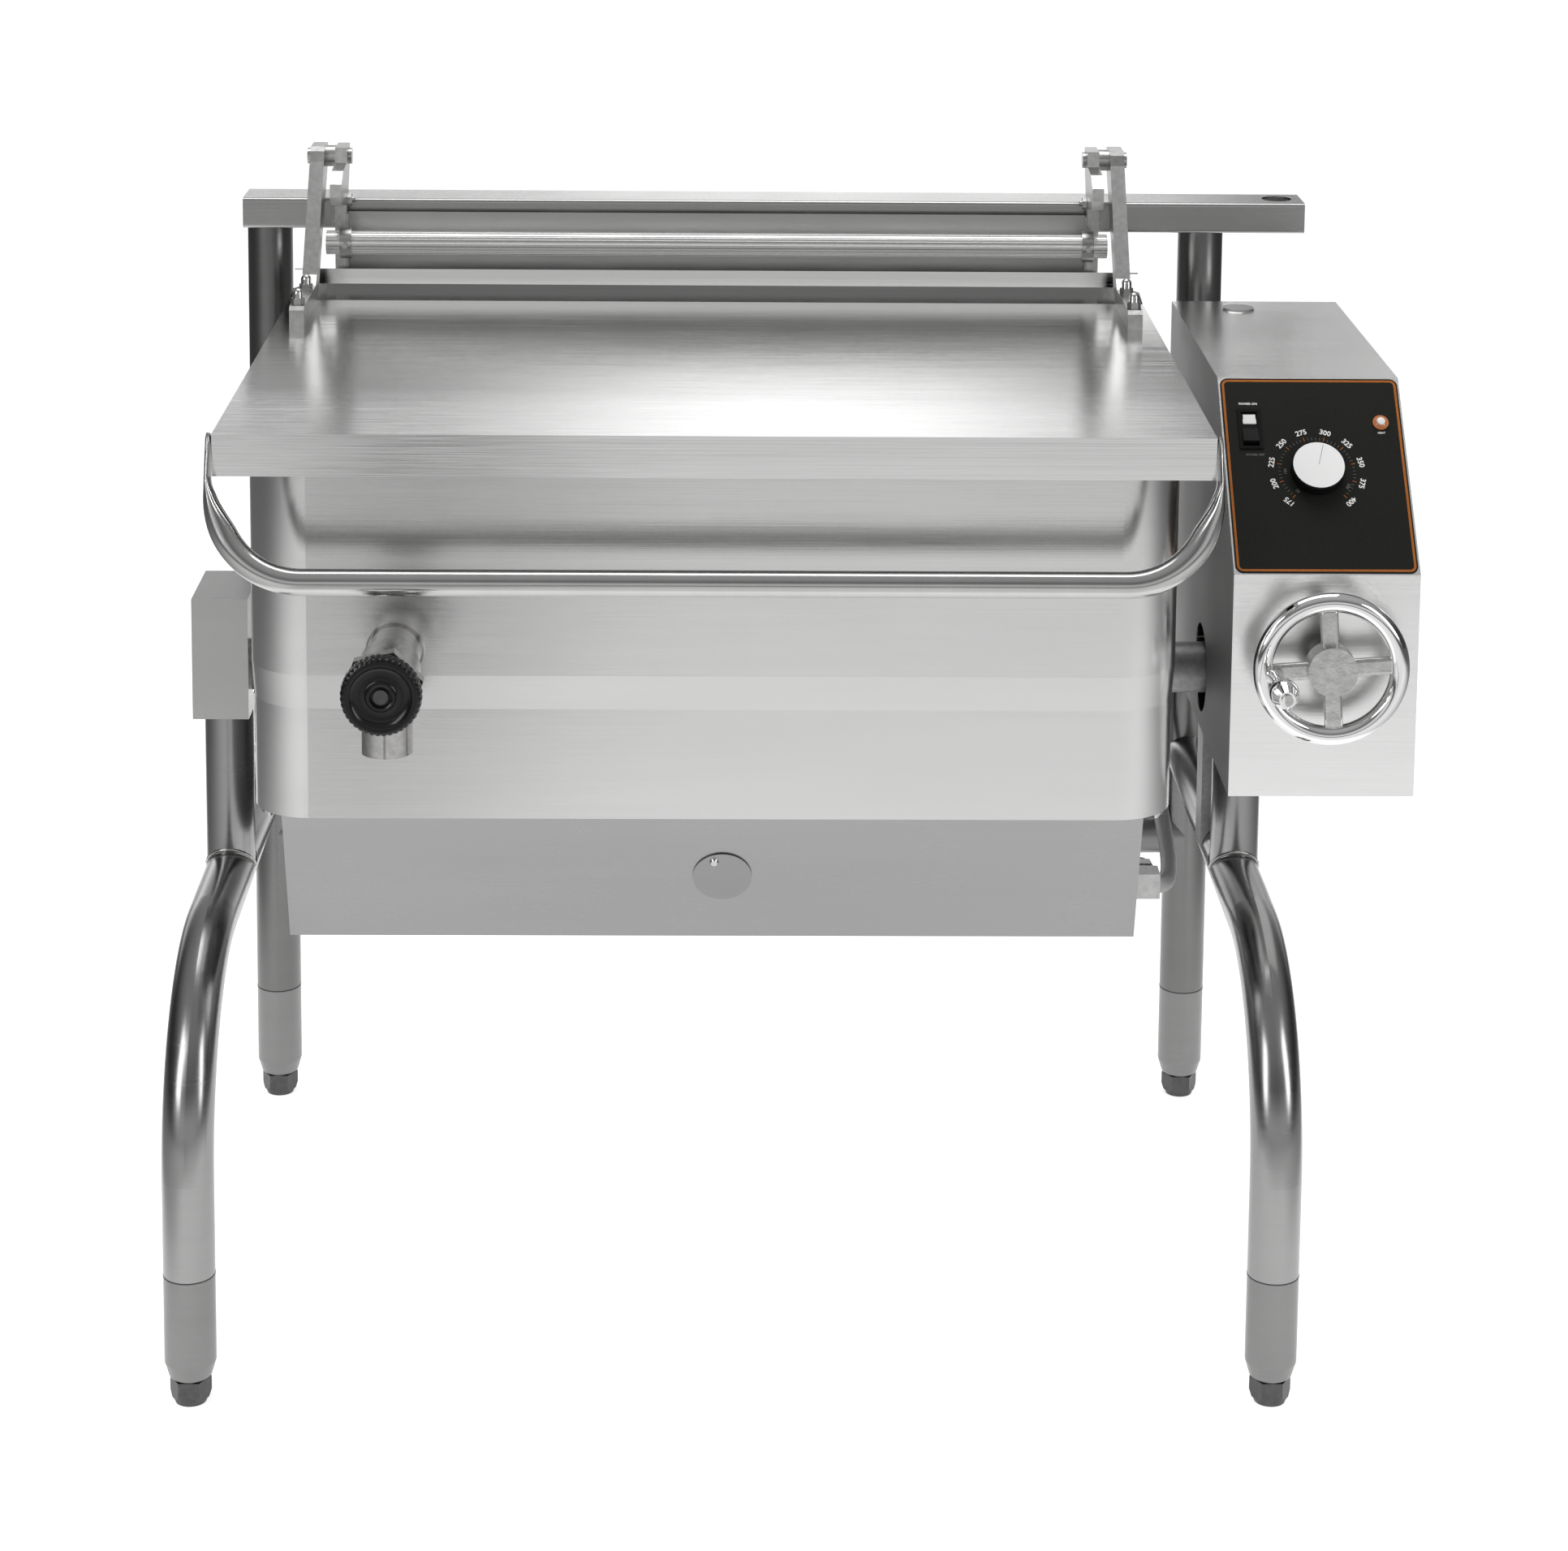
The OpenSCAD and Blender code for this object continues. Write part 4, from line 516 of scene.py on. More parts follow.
on_rim = put(rim, "ShaderNodeMapRange", i0=maths(rim, "SUBTRACT", radius, rim_in.outputs["Inner"]),
             i1=-0.0005, i2=0.0005, i3=0.0, i4=1.0).outputs[0]
pits = use_group(rim, cast, Grain=420.0, Dents=130.0)
rim.links.new(on_rim, rim_out.inputs["Rim"])
rim.links.new(maths(rim, "MULTIPLY", pits.outputs["Height"], maths(rim, "SUBTRACT", 1.0, on_rim)),
              rim_out.inputs["Height"])
rim.links.new(pits.outputs["Shade"], rim_out.inputs["Shade"])


def wheel_metal():
    material, tree, shader = new_material("handwheel metal", metallic=1.0)
    part = use_group(tree, rim, Centre=tuple(WHEEL_AT), Inner=RIM_INNER)
    rough_colour = tinted(tree, (0.52, 0.52, 0.51), part.outputs["Shade"])
    tree.links.new(put(tree, "ShaderNodeMix", {"data_type": "RGBA"}, i0=part.outputs["Rim"],
                       i6=rough_colour, i7=(0.80, 0.80, 0.80, 1.0)).outputs[2],
                   shader.inputs["Base Color"])
    tree.links.new(put(tree, "ShaderNodeMix", i0=part.outputs["Rim"], i2=0.33, i3=0.05).outputs[0],
                   shader.inputs["Roughness"])
    bump(tree, shader, part.outputs["Height"], 0.55, 0.0006)
    return material


print("crank axis at", [round(c, 4) for c in WHEEL_AT])


# %% [markdown]
# ## Dressing the solid pieces
# The solids keep their shape. Each gets the material of its real finish. A few hold more than one
# finish, and those are handled in their own cells further down.

# %% Assign materials to the solids
FINISH = {
    TUBE_STEEL: "bent_legs trunnion_posts",
    # The rear legs and stretcher take the tube steel with painted shade.
    SHADED_TUBE: "rear_legs rear_stretcher",
    SLEEVE_STEEL: "leg_sleeves",
    RAIL_STEEL: "top_rail left_cover",
    CONSOLE_SHEET: "console_shell console_back console_base",
    PAN_SHEET: "pan_vessel pan_skirt",
    FLUE_SHEET: "flue_duct",
    HEATER_SHEET: "heater_box gas_manifold burners",
    COVER_STEEL: "port_cover",
    LID_SHEET: "lid_panel",
    HANDLE_STEEL: "lid_handle",
    FLUTED_STEEL: "balance_tube",
    HARDWARE: "hole_plug skirt_bolts arm_bolts hinge_pins tube_collars port_screw worm_shaft",
    CAST_ALLOY: "lid_arms hinge_brackets left_bearing right_bearing gas_valve",
    VALVE_METAL: "valve_body",
    CHROME: "wheel_grip",
    BRONZE: "sector_gear worm worm_bearings",
    PLATE_STEEL: "heating_plate gearbox_post gear_frame trunnion_left trunnion_right "
                 "ignition_module supply_bracket thermostat_body",
    DARK_STEEL: "valve_stem foot_front_left foot_front_right foot_rear_left foot_rear_right",
    PHENOLIC: "shaft_bushing valve_knob tilt_switch",
    ROCKER_BLACK: "switch_body power_rocker temperature_dial",
    PANEL_BLACK: "panel_overlay",
    LAMP_ORANGE: "heat_lamp",
    HOSE_GREY: "gas_hose",
}
FINISH[wheel_metal()] = "handwheel"
for material, names in FINISH.items():
    for name in names.split():
        slots = nodes[name].data.materials
        slots.clear()
        slots.append(material)
print("dressed:", sum(len(n.split()) for n in FINISH.values()), "of", len(nodes))


# %% [markdown]
# ## The control panel's plane
# The printed film lies on the sloping face of the console, square to the dial's axis.
# `panel_matrix` takes a distance to the right of the dial's axis, a distance down the slope from
# it and a height above the sheet, all in metres, and gives the frame of that spot.

# %% Panel frame
panel_out = Vector(joint("dial_turn")["axis"]).normalized()
slope_down = Vector((1, 0, 0)).cross(panel_out)
DIAL_AT = Vector(joint("dial_turn")["pos_m"])
print("panel faces", tuple(round(v, 3) for v in panel_out))


def height_of(name):
    """How far a piece stands out of the panel, from the foot of the dial."""
    return max((v.co - DIAL_AT).dot(panel_out) for v in nodes[name].data.vertices)


def panel_matrix(x, down_slope, lift):
    """A frame on the panel: x from the dial's axis, down_slope from it, lift out of the sheet."""
    at = DIAL_AT + Vector((x, 0, 0)) + slope_down * down_slope + panel_out * lift
    turn_to = Matrix((Vector((1, 0, 0)), -slope_down, panel_out)).transposed()
    return Matrix.Translation(at) @ turn_to.to_4x4()


# %% [markdown]
# ## The printed film
# The film is screen printed. A print could be painted by a texture, but real letters need real
# outlines, so the print is made as very thin shapes a tenth of a millimetre proud of the film.
# Text objects give the outlines of the digits; they are turned into one mesh, so that the whole
# print is a single piece. The border is a rounded ring.

# %% Outlines on the panel
FILM_T = 0.8 * MM
PRINT_T = 0.12 * MM
film_mid = middle("panel_overlay")
film_low, film_high = span("panel_overlay")
film_w = film_high.x - film_low.x
film_l = (film_high.y - film_low.y - FILM_T * abs(panel_out.y)) / abs(slope_down.y)
FILM_X = film_mid.x - DIAL_AT.x
FILM_S = (film_mid - DIAL_AT).dot(slope_down)
print("film", round(film_w, 4), "by", round(film_l, 4))


def rounded_outline(w, d, r, steps=8):
    points = []
    for quarter, (sx, sy) in enumerate(((1, 1), (-1, 1), (-1, -1), (1, -1))):
        for k in range(steps + 1):
            a = (quarter + k / steps) * math.pi / 2
            points.append((sx * (w / 2 - r) + r * math.cos(a), sy * (d / 2 - r) + r * math.sin(a)))
    return points


def ring(bm, outer, inner, matrix, height):
    """A flat ring with thin walls between two outlines of the same number of points."""
    rows = [[bm.verts.new(matrix @ Vector((x, y, z))) for x, y in line]
            for line, z in ((outer, 0), (outer, height), (inner, height), (inner, 0))]
    skin(bm, rows, closed=True)


def build_border(bm):
    inset, width = 1.6 * MM, 2.4 * MM
    outer = rounded_outline(film_w - 2 * inset, film_l - 2 * inset, 6.5 * MM)
    inner = rounded_outline(film_w - 2 * (inset + width), film_l - 2 * (inset + width), 4.1 * MM)
    ring(bm, outer, inner, panel_matrix(FILM_X, FILM_S, FILM_T), PRINT_T)


finish_piece(mesh_from("panel_border", build_border), "stand", "panel_film", PANEL_ORANGE)


# %% Letters and ticks
def add_text(bm, text, size, matrix):
    curve = bpy.data.curves.new("text", "FONT")
    curve.body = text
    curve.size = size
    curve.align_x = "CENTER"
    curve.align_y = "CENTER"
    curve.extrude = PRINT_T / 2
    curve.offset = size * 0.022
    curve.resolution_u = 3
    obj = bpy.data.objects.new("text", curve)
    bpy.context.scene.collection.objects.link(obj)
    shape = obj.evaluated_get(bpy.context.evaluated_depsgraph_get()).to_mesh()
    shape.transform(matrix @ Matrix.Translation((0, 0, PRINT_T / 2)))
    bm.from_mesh(shape)
    obj.to_mesh_clear()
    bpy.data.objects.remove(obj)
    bpy.data.curves.remove(curve)


def add_bar(bm, w, d, height, matrix):
    corners = [(-w / 2, -d / 2), (w / 2, -d / 2), (w / 2, d / 2), (-w / 2, d / 2)]
    low = [bm.verts.new(matrix @ Vector((x, y, 0))) for x, y in corners]
    high = [bm.verts.new(matrix @ Vector((x, y, height))) for x, y in corners]
    bm.faces.new(high)
    bm.faces.new(low[::-1])
    skin(bm, [low, high])


MARKS, LOWEST, MARK_STEP = 10, 175, 25
SCALE_FIRST, SCALE_STEP = -138.0, 30.6
SCALE_R, TICK_R = 46.0 * MM, 36.0 * MM
METRIC = ((80, -136, 30.5), (100, -90, 31.8), (200, 119, 34.0))


def dial_matrix(angle, radius, lift=FILM_T):
    """A frame at that clockwise angle from straight up the slope, its top outwards."""
    a = math.radians(angle)
    spot = panel_matrix(radius * math.sin(a), -radius * math.cos(a), lift)
    return spot @ Matrix.Rotation(-a, 4, "Z")


def panel_spot(at):
    """How far right of the dial's axis and down the slope from it a point lies."""
    return (at - DIAL_AT).dot(Vector((1, 0, 0))), (at - DIAL_AT).dot(slope_down)


ROCKER_AT = Vector(joint("rocker_tip")["pos_m"])
rocker_x, rocker_s = panel_spot(ROCKER_AT)
lamp_x, lamp_s = panel_spot(middle("heat_lamp"))


def build_white_print(bm):
    for k in range(MARKS):
        spot = dial_matrix(SCALE_FIRST + SCALE_STEP * k, SCALE_R)
        add_text(bm, str(LOWEST + MARK_STEP * k), 7.8 * MM, spot)
    add_text(bm, "POWER ON", 3.5 * MM, panel_matrix(rocker_x, rocker_s - 29.5 * MM, FILM_T))
    add_text(bm, "HEAT", 3.1 * MM, panel_matrix(lamp_x, lamp_s + 11.5 * MM, FILM_T))


def build_orange_print(bm):
    for k in range(MARKS):
        mark = dial_matrix(SCALE_FIRST + SCALE_STEP * k, TICK_R + 2.2 * MM)
        add_bar(bm, 0.8 * MM, 4.4 * MM, PRINT_T, mark)


def build_grey_print(bm):
    for k in range(MARKS - 1):
        for part in (1, 2, 3, 4):
            fine = dial_matrix(SCALE_FIRST + SCALE_STEP * (k + part / 5), TICK_R + 1.6 * MM)
            add_bar(bm, 0.5 * MM, 3.0 * MM, PRINT_T, fine)
    for value, angle, radius in METRIC:
        add_text(bm, str(value), 4.4 * MM, dial_matrix(angle, radius * MM))
    below = panel_matrix(rocker_x + 3 * MM, rocker_s + 29.5 * MM, FILM_T)
    add_text(bm, "POWER OFF", 3.4 * MM, below)


for name, build, ink in (("panel_print_white", build_white_print, PRINT_WHITE),
                         ("panel_print_orange", build_orange_print, PANEL_ORANGE),
                         ("panel_print_grey", build_grey_print, PRINT_GREY)):
    piece = finish_piece(mesh_from(name, build), "stand", "panel_film", ink)
    print(name, "has", len(piece.data.polygons), "faces")


# %% [markdown]
# ## The dial's face
# The dial's body is black. Its face is a white disc with a fine grey pointer line. Both turn with
# the dial, so they ride on the dial's body. At rest the pointer stands at 300.

# %% Dial face and pointer
DIAL_TOP = height_of("temperature_dial")
DIAL_R = (span("temperature_dial")[1].x - span("temperature_dial")[0].x) / 2
FACE_T = 0.3 * MM
POINTED_MARK = (300 - LOWEST) // MARK_STEP


def build_face(bm):
    lift = DIAL_TOP - 0.05 * MM
    profile = [(TIP_R, 0), (DIAL_R - 1.2 * MM, 0), (DIAL_R - 1.2 * MM, 0.2 * MM),
               (DIAL_R - 1.5 * MM, FACE_T), (TIP_R, FACE_T)]
    revolve(bm, profile, 96, panel_matrix(0, 0, lift))
    close_tips(bm)


def build_pointer(bm):
    angle = SCALE_FIRST + SCALE_STEP * POINTED_MARK
    spot = dial_matrix(angle, 12.5 * MM, DIAL_TOP + FACE_T - 0.06 * MM)
    add_bar(bm, 0.6 * MM, 23 * MM, 0.03 * MM, spot)


finish_piece(mesh_from("dial_face", build_face), "dial", "dial_plastic", DIAL_WHITE)
finish_piece(mesh_from("dial_pointer", build_pointer), "dial", "dial_plastic", POINTER_GREY)
print("dial face stands", round(DIAL_TOP / MM, 2), "mm above the sheet")


# %% [markdown]
# ## Lamps on the panel
# The upper end of the power rocker carries a small white window with a lamp behind it: a block
# with rounded edges, set a little into the rocker and tipped with it. The heat lamp is an orange
# lens with a milky middle, a low cap turned round the lamp's axis.

# %% Rocker window and lamp cap
ROCKER_REST, WINDOW_LEAN = math.radians(-7), math.radians(4.4)


def build_window(bm):
    lift = (ROCKER_AT - DIAL_AT).dot(panel_out)
    spot = panel_matrix(rocker_x, rocker_s, lift) @ Matrix.Rotation(ROCKER_REST, 4, "X")
    bmesh.ops.create_cube(bm, size=1.0)
    bmesh.ops.scale(bm, vec=(13.6 * MM, 11.5 * MM, 1.6 * MM), verts=bm.verts)
    bmesh.ops.bevel(bm, geom=bm.edges[:], offset=0.6 * MM, segments=2, affect="EDGES")
    seat = Matrix.Translation((0, 10.2 * MM, 8.7 * MM)) @ Matrix.Rotation(WINDOW_LEAN, 4, "X")
    bmesh.ops.transform(bm, matrix=spot @ seat, verts=bm.verts)


def build_cap(bm):
    profile = [(TIP_R, 0.5 * MM), (2.2 * MM, 0.4 * MM), (3.8 * MM, 0.0), (4.3 * MM, -0.7 * MM)]
    revolve(bm, profile, 32, panel_matrix(lamp_x, lamp_s, height_of("heat_lamp")))
    close_tips(bm)


finish_piece(mesh_from("rocker_window", build_window), "rocker", "lamp_lens", LAMP_WHITE)
finish_piece(mesh_from("heat_lamp_cap", build_cap), "stand", "lamp_lens", LAMP_WHITE)
print("rocker window and lamp cap placed")


# %% [markdown]
# ## The lid's handle
# The handle is one bent tube. Towards each end it's pressed flat, and the flat lies against the
# lid's side. A section is carried along the handle's line: thin and wide on the flat, round on the
# rest, with a soft change between. The line leans forwards from the lid's top edge.

# %% Lid handle
LID_LOW, LID_HIGH = span("lid_panel")
LID_TOP_Z = LID_LOW.z + 41 * MM
HANDLE_R, HANDLE_BEND, HANDLE_SIDES = 12.7 * MM, 82 * MM, 32
HANDLE_LEAN = math.atan2(45, 133)
HANDLE_DROP = 133 * MM / math.cos(HANDLE_LEAN)
FLAT_HALF_T, FLAT_HALF_W, FLAT_END = 3 * MM, 17 * MM, 42 * MM
handle_half = (span("lid_handle")[1].x - span("lid_handle")[0].x) / 2


def eased(t):
    t = min(max(t, 0.0), 1.0)
    return t * t * (3 - 2 * t)


def handle_side():
    """(across, up, half thickness, half width) from one flat's top to the middle of the bar."""
    def section(x, z, w):
        """w is 0 on the flat and 1 on the round tube."""
        return (x, z, FLAT_HALF_T + (HANDLE_R - FLAT_HALF_T) * w,
                FLAT_HALF_W + (HANDLE_R - FLAT_HALF_W) * w)

    flat_x = (LID_HIGH.x - LID_LOW.x) / 2 + 3.2 * MM
    tube_x = handle_half - HANDLE_R
    rows = []
    for k in range(9):
        t = k / 8
        width = FLAT_HALF_W * (0.72 + 0.28 * t) * (0.9 if k == 0 else 1.0)
        rows.append((flat_x, -1.5 * MM - t * (FLAT_END - 1.5 * MM),
                     FLAT_HALF_T * (0.7 if k == 0 else 1.0), width))
    top = -HANDLE_DROP + HANDLE_BEND
    for k in range(1, 8):
        t = k / 8
        w = eased(0.35 * t)
        rows.append(section(flat_x + (tube_x - flat_x) * w, -FLAT_END + t * (top + FLAT_END), w))
    for k in range(25):
        a = math.radians(90 * k / 24)
        w = eased(0.35 + 0.65 * k / 8)
        x = tube_x - HANDLE_BEND + HANDLE_BEND * math.cos(a) + (flat_x - tube_x) * (1 - w)
        rows.append(section(x, top - HANDLE_BEND * math.sin(a), w))
    return rows


def build_handle(bm):
    half_rows = handle_side()
    line = half_rows + [(-x, z, t, w) for x, z, t, w in half_rows[::-1]]
    start = Vector((PAN_X, LID_LOW.y + 8 * MM, LID_TOP_Z))
    frame_at = Matrix.Translation(start) @ Matrix.Rotation(-HANDLE_LEAN, 4, "X")
    rows = []
    for i, (x, z, t, w) in enumerate(line):
        before, after = line[max(i - 1, 0)], line[min(i + 1, len(line) - 1)]
        way = Vector((after[0] - before[0], 0, after[1] - before[1])).normalized()
        out = way.cross(Vector((0, 1, 0)))
        rows.append([bm.verts.new(frame_at @ (Vector((x, 0, z)) + t * math.cos(a) * out
                                              + w * math.sin(a) * Vector((0, 1, 0))))
                     for a in around(HANDLE_SIDES)])
    skin(bm, rows, capped=True)
    bmesh.ops.recalc_face_normals(bm, faces=bm.faces)


handle = finish_piece(mesh_from("bent_handle", build_handle), "lid", "hardware", HANDLE_STEEL,
                      "lid_handle")
smooth(handle, 50)
print("handle box", [[round(c, 4) for c in v] for v in span("lid_handle")])


# %% [markdown]
# ## The valve's knob
# The knob is moulded in black phenolic. Its rim is fluted for a wet hand, its face is dished
# between a raised rim and a boss. A turned profile gives the round shape, and the rim's radius is
# made to wave round the circle. The face is left plain.

# %% Valve knob
FLUTES = 40
KNOB_STEPS = FLUTES * 6
knob_low, knob_high = span("valve_knob")
knob_mid = middle("valve_knob")
KNOB_R = (knob_high.x - knob_low.x) / 2
KNOB_L = knob_high.y - knob_low.y
STEM_R = 7.05 * MM


def knob_wave(r, a):
    if r < KNOB_R - 2.2 * MM:
        return r
    return r - 0.8 * MM * (0.5 + 0.5 * math.cos(FLUTES * a)) ** 2


def build_knob(bm):
    r, h = KNOB_R, KNOB_L
    profile = [(STEM_R, 0), (r - 9 * MM, 0), (r - 5 * MM, 2 * MM), (r - 1.2 * MM, 4.5 * MM),
               (r, 6 * MM), (r, h - 5.5 * MM), (r - 1 * MM, h - 2.2 * MM),
               (r - 3.5 * MM, h - 0.4 * MM), (r - 6 * MM, h), (r - 8.5 * MM, h - 0.6 * MM),
               (r - 10.5 * MM, h - 3 * MM), (r - 14 * MM, h - 4.6 * MM),
               (16 * MM, h - 4.6 * MM), (14.6 * MM, h - 4 * MM),
               (13.4 * MM, h - 2.4 * MM), (11.5 * MM, h - 2 * MM), (10.4 * MM, h - 2.6 * MM),
               (9.8 * MM, h - 6 * MM), (STEM_R, h - 6 * MM), (STEM_R, 0)]
    spot = Matrix.Translation((knob_mid.x, knob_high.y, knob_mid.z))
    revolve(bm, profile, KNOB_STEPS, spot @ Matrix.Rotation(math.pi / 2, 4, "X"), knob_wave)
    close_tips(bm)


knob = finish_piece(mesh_from("draw_off_knob", build_knob), "knob", "phenolic", PHENOLIC,
                    "valve_knob")
smooth(knob)
print("knob", round(2 * KNOB_R / MM, 1), "mm across")


# %% [markdown]
# ## The gas hose
# The hose hangs between the union on the stand and the union under the pan. Its route repeats
# the points of the construction, given from the pan's middle, the trunnion axis and the floor. A
# smooth curve is drawn through them, a round section is carried along it, and the section swells a
# little at every rib of the sheath.

# %% Gas hose
HOSE_D, RIB, RIB_DEPTH = 18 * MM, 5 * MM, 0.35 * MM
HOSE_SIDES, HOSE_STEP, CURVE_PARTS = 20, 1.2 * MM, 24
ROUTE = [Vector(p) + Vector((PAN_X, AXIS_Y, 0)) for p in (
    (0.5051, 0.372, 0.5117), (0.5051, 0.372, 0.482), (0.5061, 0.366, 0.456),
    (0.5081, 0.344, 0.424), (0.5081, 0.308, 0.401), (0.5081, 0.262, 0.387),
    (0.5061, 0.210, 0.380), (0.5021, 0.150, 0.379), (0.4951, 0.092, 0.382),
    (0.4851, 0.040, 0.391), (0.4691, -0.016, 0.410), (0.4541, -0.060, 0.434),
    (0.4440, -0.088, 0.456), (0.4420, -0.1017, 0.460), (0.4420, -0.1097, 0.460))]


def smooth_line(points, step):
    """Points a step apart on a curve that passes through the given points."""
    ends = [2 * points[0] - points[1]] + points + [2 * points[-1] - points[-2]]
    dense = []
    for a, b, c, d in zip(ends, ends[1:], ends[2:], ends[3:]):
        for k in range(CURVE_PARTS):
            t = k / CURVE_PARTS
            dense.append(0.5 * (2 * b + (c - a) * t + (2 * a - 5 * b + 4 * c - d) * t * t
                                + (3 * b - a - 3 * c + d) * t * t * t))
    dense.append(points[-1])
    line, walked = [dense[0]], 0.0
    for p, q in zip(dense, dense[1:]):
        walked += (q - p).length
        if walked >= step:
            line.append(q)
            walked = 0.0
    return line + [dense[-1]]


hose_line = smooth_line(ROUTE, HOSE_STEP)


def build_hose(bm):
    rows, walked = [], 0.0
    for i, at in enumerate(hose_line):
        way = (hose_line[min(i + 1, len(hose_line) - 1)] - hose_line[max(i - 1, 0)]).normalized()
        u = Vector((1, 0, 0)).cross(way).normalized()
        v = way.cross(u)
        walked += (at - hose_line[i - 1]).length if i else 0.0
        r = HOSE_D / 2 - RIB_DEPTH * (0.5 + 0.5 * math.cos(2 * math.pi * walked / RIB))
        rows.append([bm.verts.new(at + r * (math.cos(a) * u + math.sin(a) * v))
                     for a in around(HOSE_SIDES)])
    skin(bm, rows, capped=True)
    bmesh.ops.recalc_face_normals(bm, faces=bm.faces)


hose = mesh_from("gas_hose_sheath", build_hose)
hose.data.materials.append(HOSE_GREY)
smooth(hose, 60)
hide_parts("gas_hose")
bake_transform(hose)


# %% [markdown]
# ## Bolts of the hinge brackets
# Each bracket is clamped to its strip by one bolt. Its nut shows on the inner face, the head lies
# between bracket and arm. The bracket's own size gives the places.

# %% Bracket bolts
def hexagon(bm, r, length, matrix):
    revolve(bm, [(TIP_R, 0), (r * 0.94, 0), (r, 0.5 * MM), (r, length - 0.5 * MM),
                 (r * 0.94, length), (TIP_R, length)], 6, matrix)


def build_bracket_bolts(bm):
    low, high = span("hinge_brackets")
    pin = joint("lid_lift")["pos_m"]
    at_y, at_z = pin[1] - 23 * MM, pin[2] - 46 * MM

    def pointing(x, way):
        """A frame whose Z points along X, to the right for way 1 and to the left for -1."""
        return Matrix.Translation((x, at_y, at_z)) @ Matrix.Rotation(way * math.pi / 2, 4, "Y")

    for side in (-1, 1):
        inner = PAN_X + side * ((high.x - low.x) / 2 - 13 * MM)
        inward = pointing(inner, -side)
        hexagon(bm, 7 * MM, 5.5 * MM, inward)
        revolve(bm, [(3.2 * MM, 5 * MM), (3.2 * MM, 8 * MM), (2.6 * MM, 8.6 * MM),
                     (TIP_R, 8.6 * MM)], 16, inward)
        outer = PAN_X + side * (high.x - low.x) / 2
        hexagon(bm, 7 * MM, 4.5 * MM, pointing(outer, side))
    close_tips(bm)
    bmesh.ops.recalc_face_normals(bm, faces=bm.faces)


finish_piece(mesh_from("bracket_bolts", build_bracket_bolts), "pan", "hardware", HARDWARE)
print("bracket bolts placed")


# %% [markdown]
# ## Seams of the stand
# Each leg ends in a sleeve of the tube's own width, so only a fine dark seam shows where it
# starts. Each trunnion post stands on a side beam of the same width. Its weld follows the saddle
# that two crossing tubes make, dipping to the beam's axis on both sides.

# %% Sleeve seams and weld beads
SEAM_DARK = cast_metal("seam", (0.08, 0.08, 0.08), 0.45, 0.1)
WELD_METAL = cast_metal("weld bead", (0.45, 0.45, 0.44), 0.30, 0.3)
LEG_R = 25.4 * MM


def build_seams(bm):
    top = span("leg_sleeves")[1].z
    for foot in ("front_left", "front_right", "rear_left", "rear_right"):
        at = middle("foot_" + foot)
        profile = [(LEG_R - 0.3 * MM, -0.9 * MM), (LEG_R + 0.25 * MM, -0.6 * MM),
                   (LEG_R + 0.25 * MM, 0.6 * MM), (LEG_R - 0.3 * MM, 0.9 * MM)]
        revolve(bm, profile, 64, Matrix.Translation((at.x, at.y, top)))


def build_welds(bm):
    low, high = span("trunnion_posts")
    post_r = (high.y - low.y) / 2
    for x in (low.x + post_r, high.x - post_r):
        rows = []
        for a in around(96):
            out = Vector((math.sin(a), math.cos(a), 0))
            rise = math.sqrt(max(LEG_R ** 2 - (post_r * math.sin(a)) ** 2, 0.0))
            at = Vector((x, (low.y + high.y) / 2, low.z + rise)) + post_r * out
            bead = 1.9 * MM * (1 + 0.10 * math.sin(24 * a))
            up = Vector((0, 0, 1))
            rows.append([bm.verts.new(at + bead * (math.cos(b) * out + math.sin(b) * up))
                         for b in around(8)])
        skin(bm, rows, closed=True)
    bmesh.ops.recalc_face_normals(bm, faces=bm.faces)


finish_piece(mesh_from("sleeve_seams", build_seams), "stand", "stand_steel", SEAM_DARK)
welds = finish_piece(mesh_from("weld_beads", build_welds), "stand", "stand_steel", WELD_METAL)
smooth(welds, 80)
print("seams at", round(span("leg_sleeves")[1].z, 4),
      "welds at", round(span("trunnion_posts")[0].z, 4))


# %% [markdown]
# ## Floor, light and sky
# A stand-in for a studio: a wide pale floor, a soft sky that is brighter ahead and behind than at
# the sides, and three large soft lamps. Steel shows little but what it reflects, so the dark sides
# of the sky matter as much as the lamps: they draw the dark edges of the tubes. The floor is pale
# paper where the camera sees it, widening away from the lens, and grey elsewhere. A painted patch
# of light lies in front of it, with a painted dark strip on the left, so that the pan's front shows
# a painted reflection of both.

# %% Floor
FLOOR_HALF, FLOOR_GLOW = 30.0, 0.74
DARK_FLOOR, PALE_FLOOR = (0.30, 0.30, 0.30, 1), (0.82, 0.82, 0.82, 1)
# The middle of a painted patch of light on the floor, in front of the pan.
PAINTED_POOL_AT = (0.35, -3.0, 0.0)
LENS_Y, PAPER_WIDENS = 3.8, 0.236


def build_floor(bm):
    corners = [(-1, -1), (1, -1), (1, 1), (-1, 1)]
    bm.faces.new([bm.verts.new((x * FLOOR_HALF, y * FLOOR_HALF, 0)) for x, y in corners])


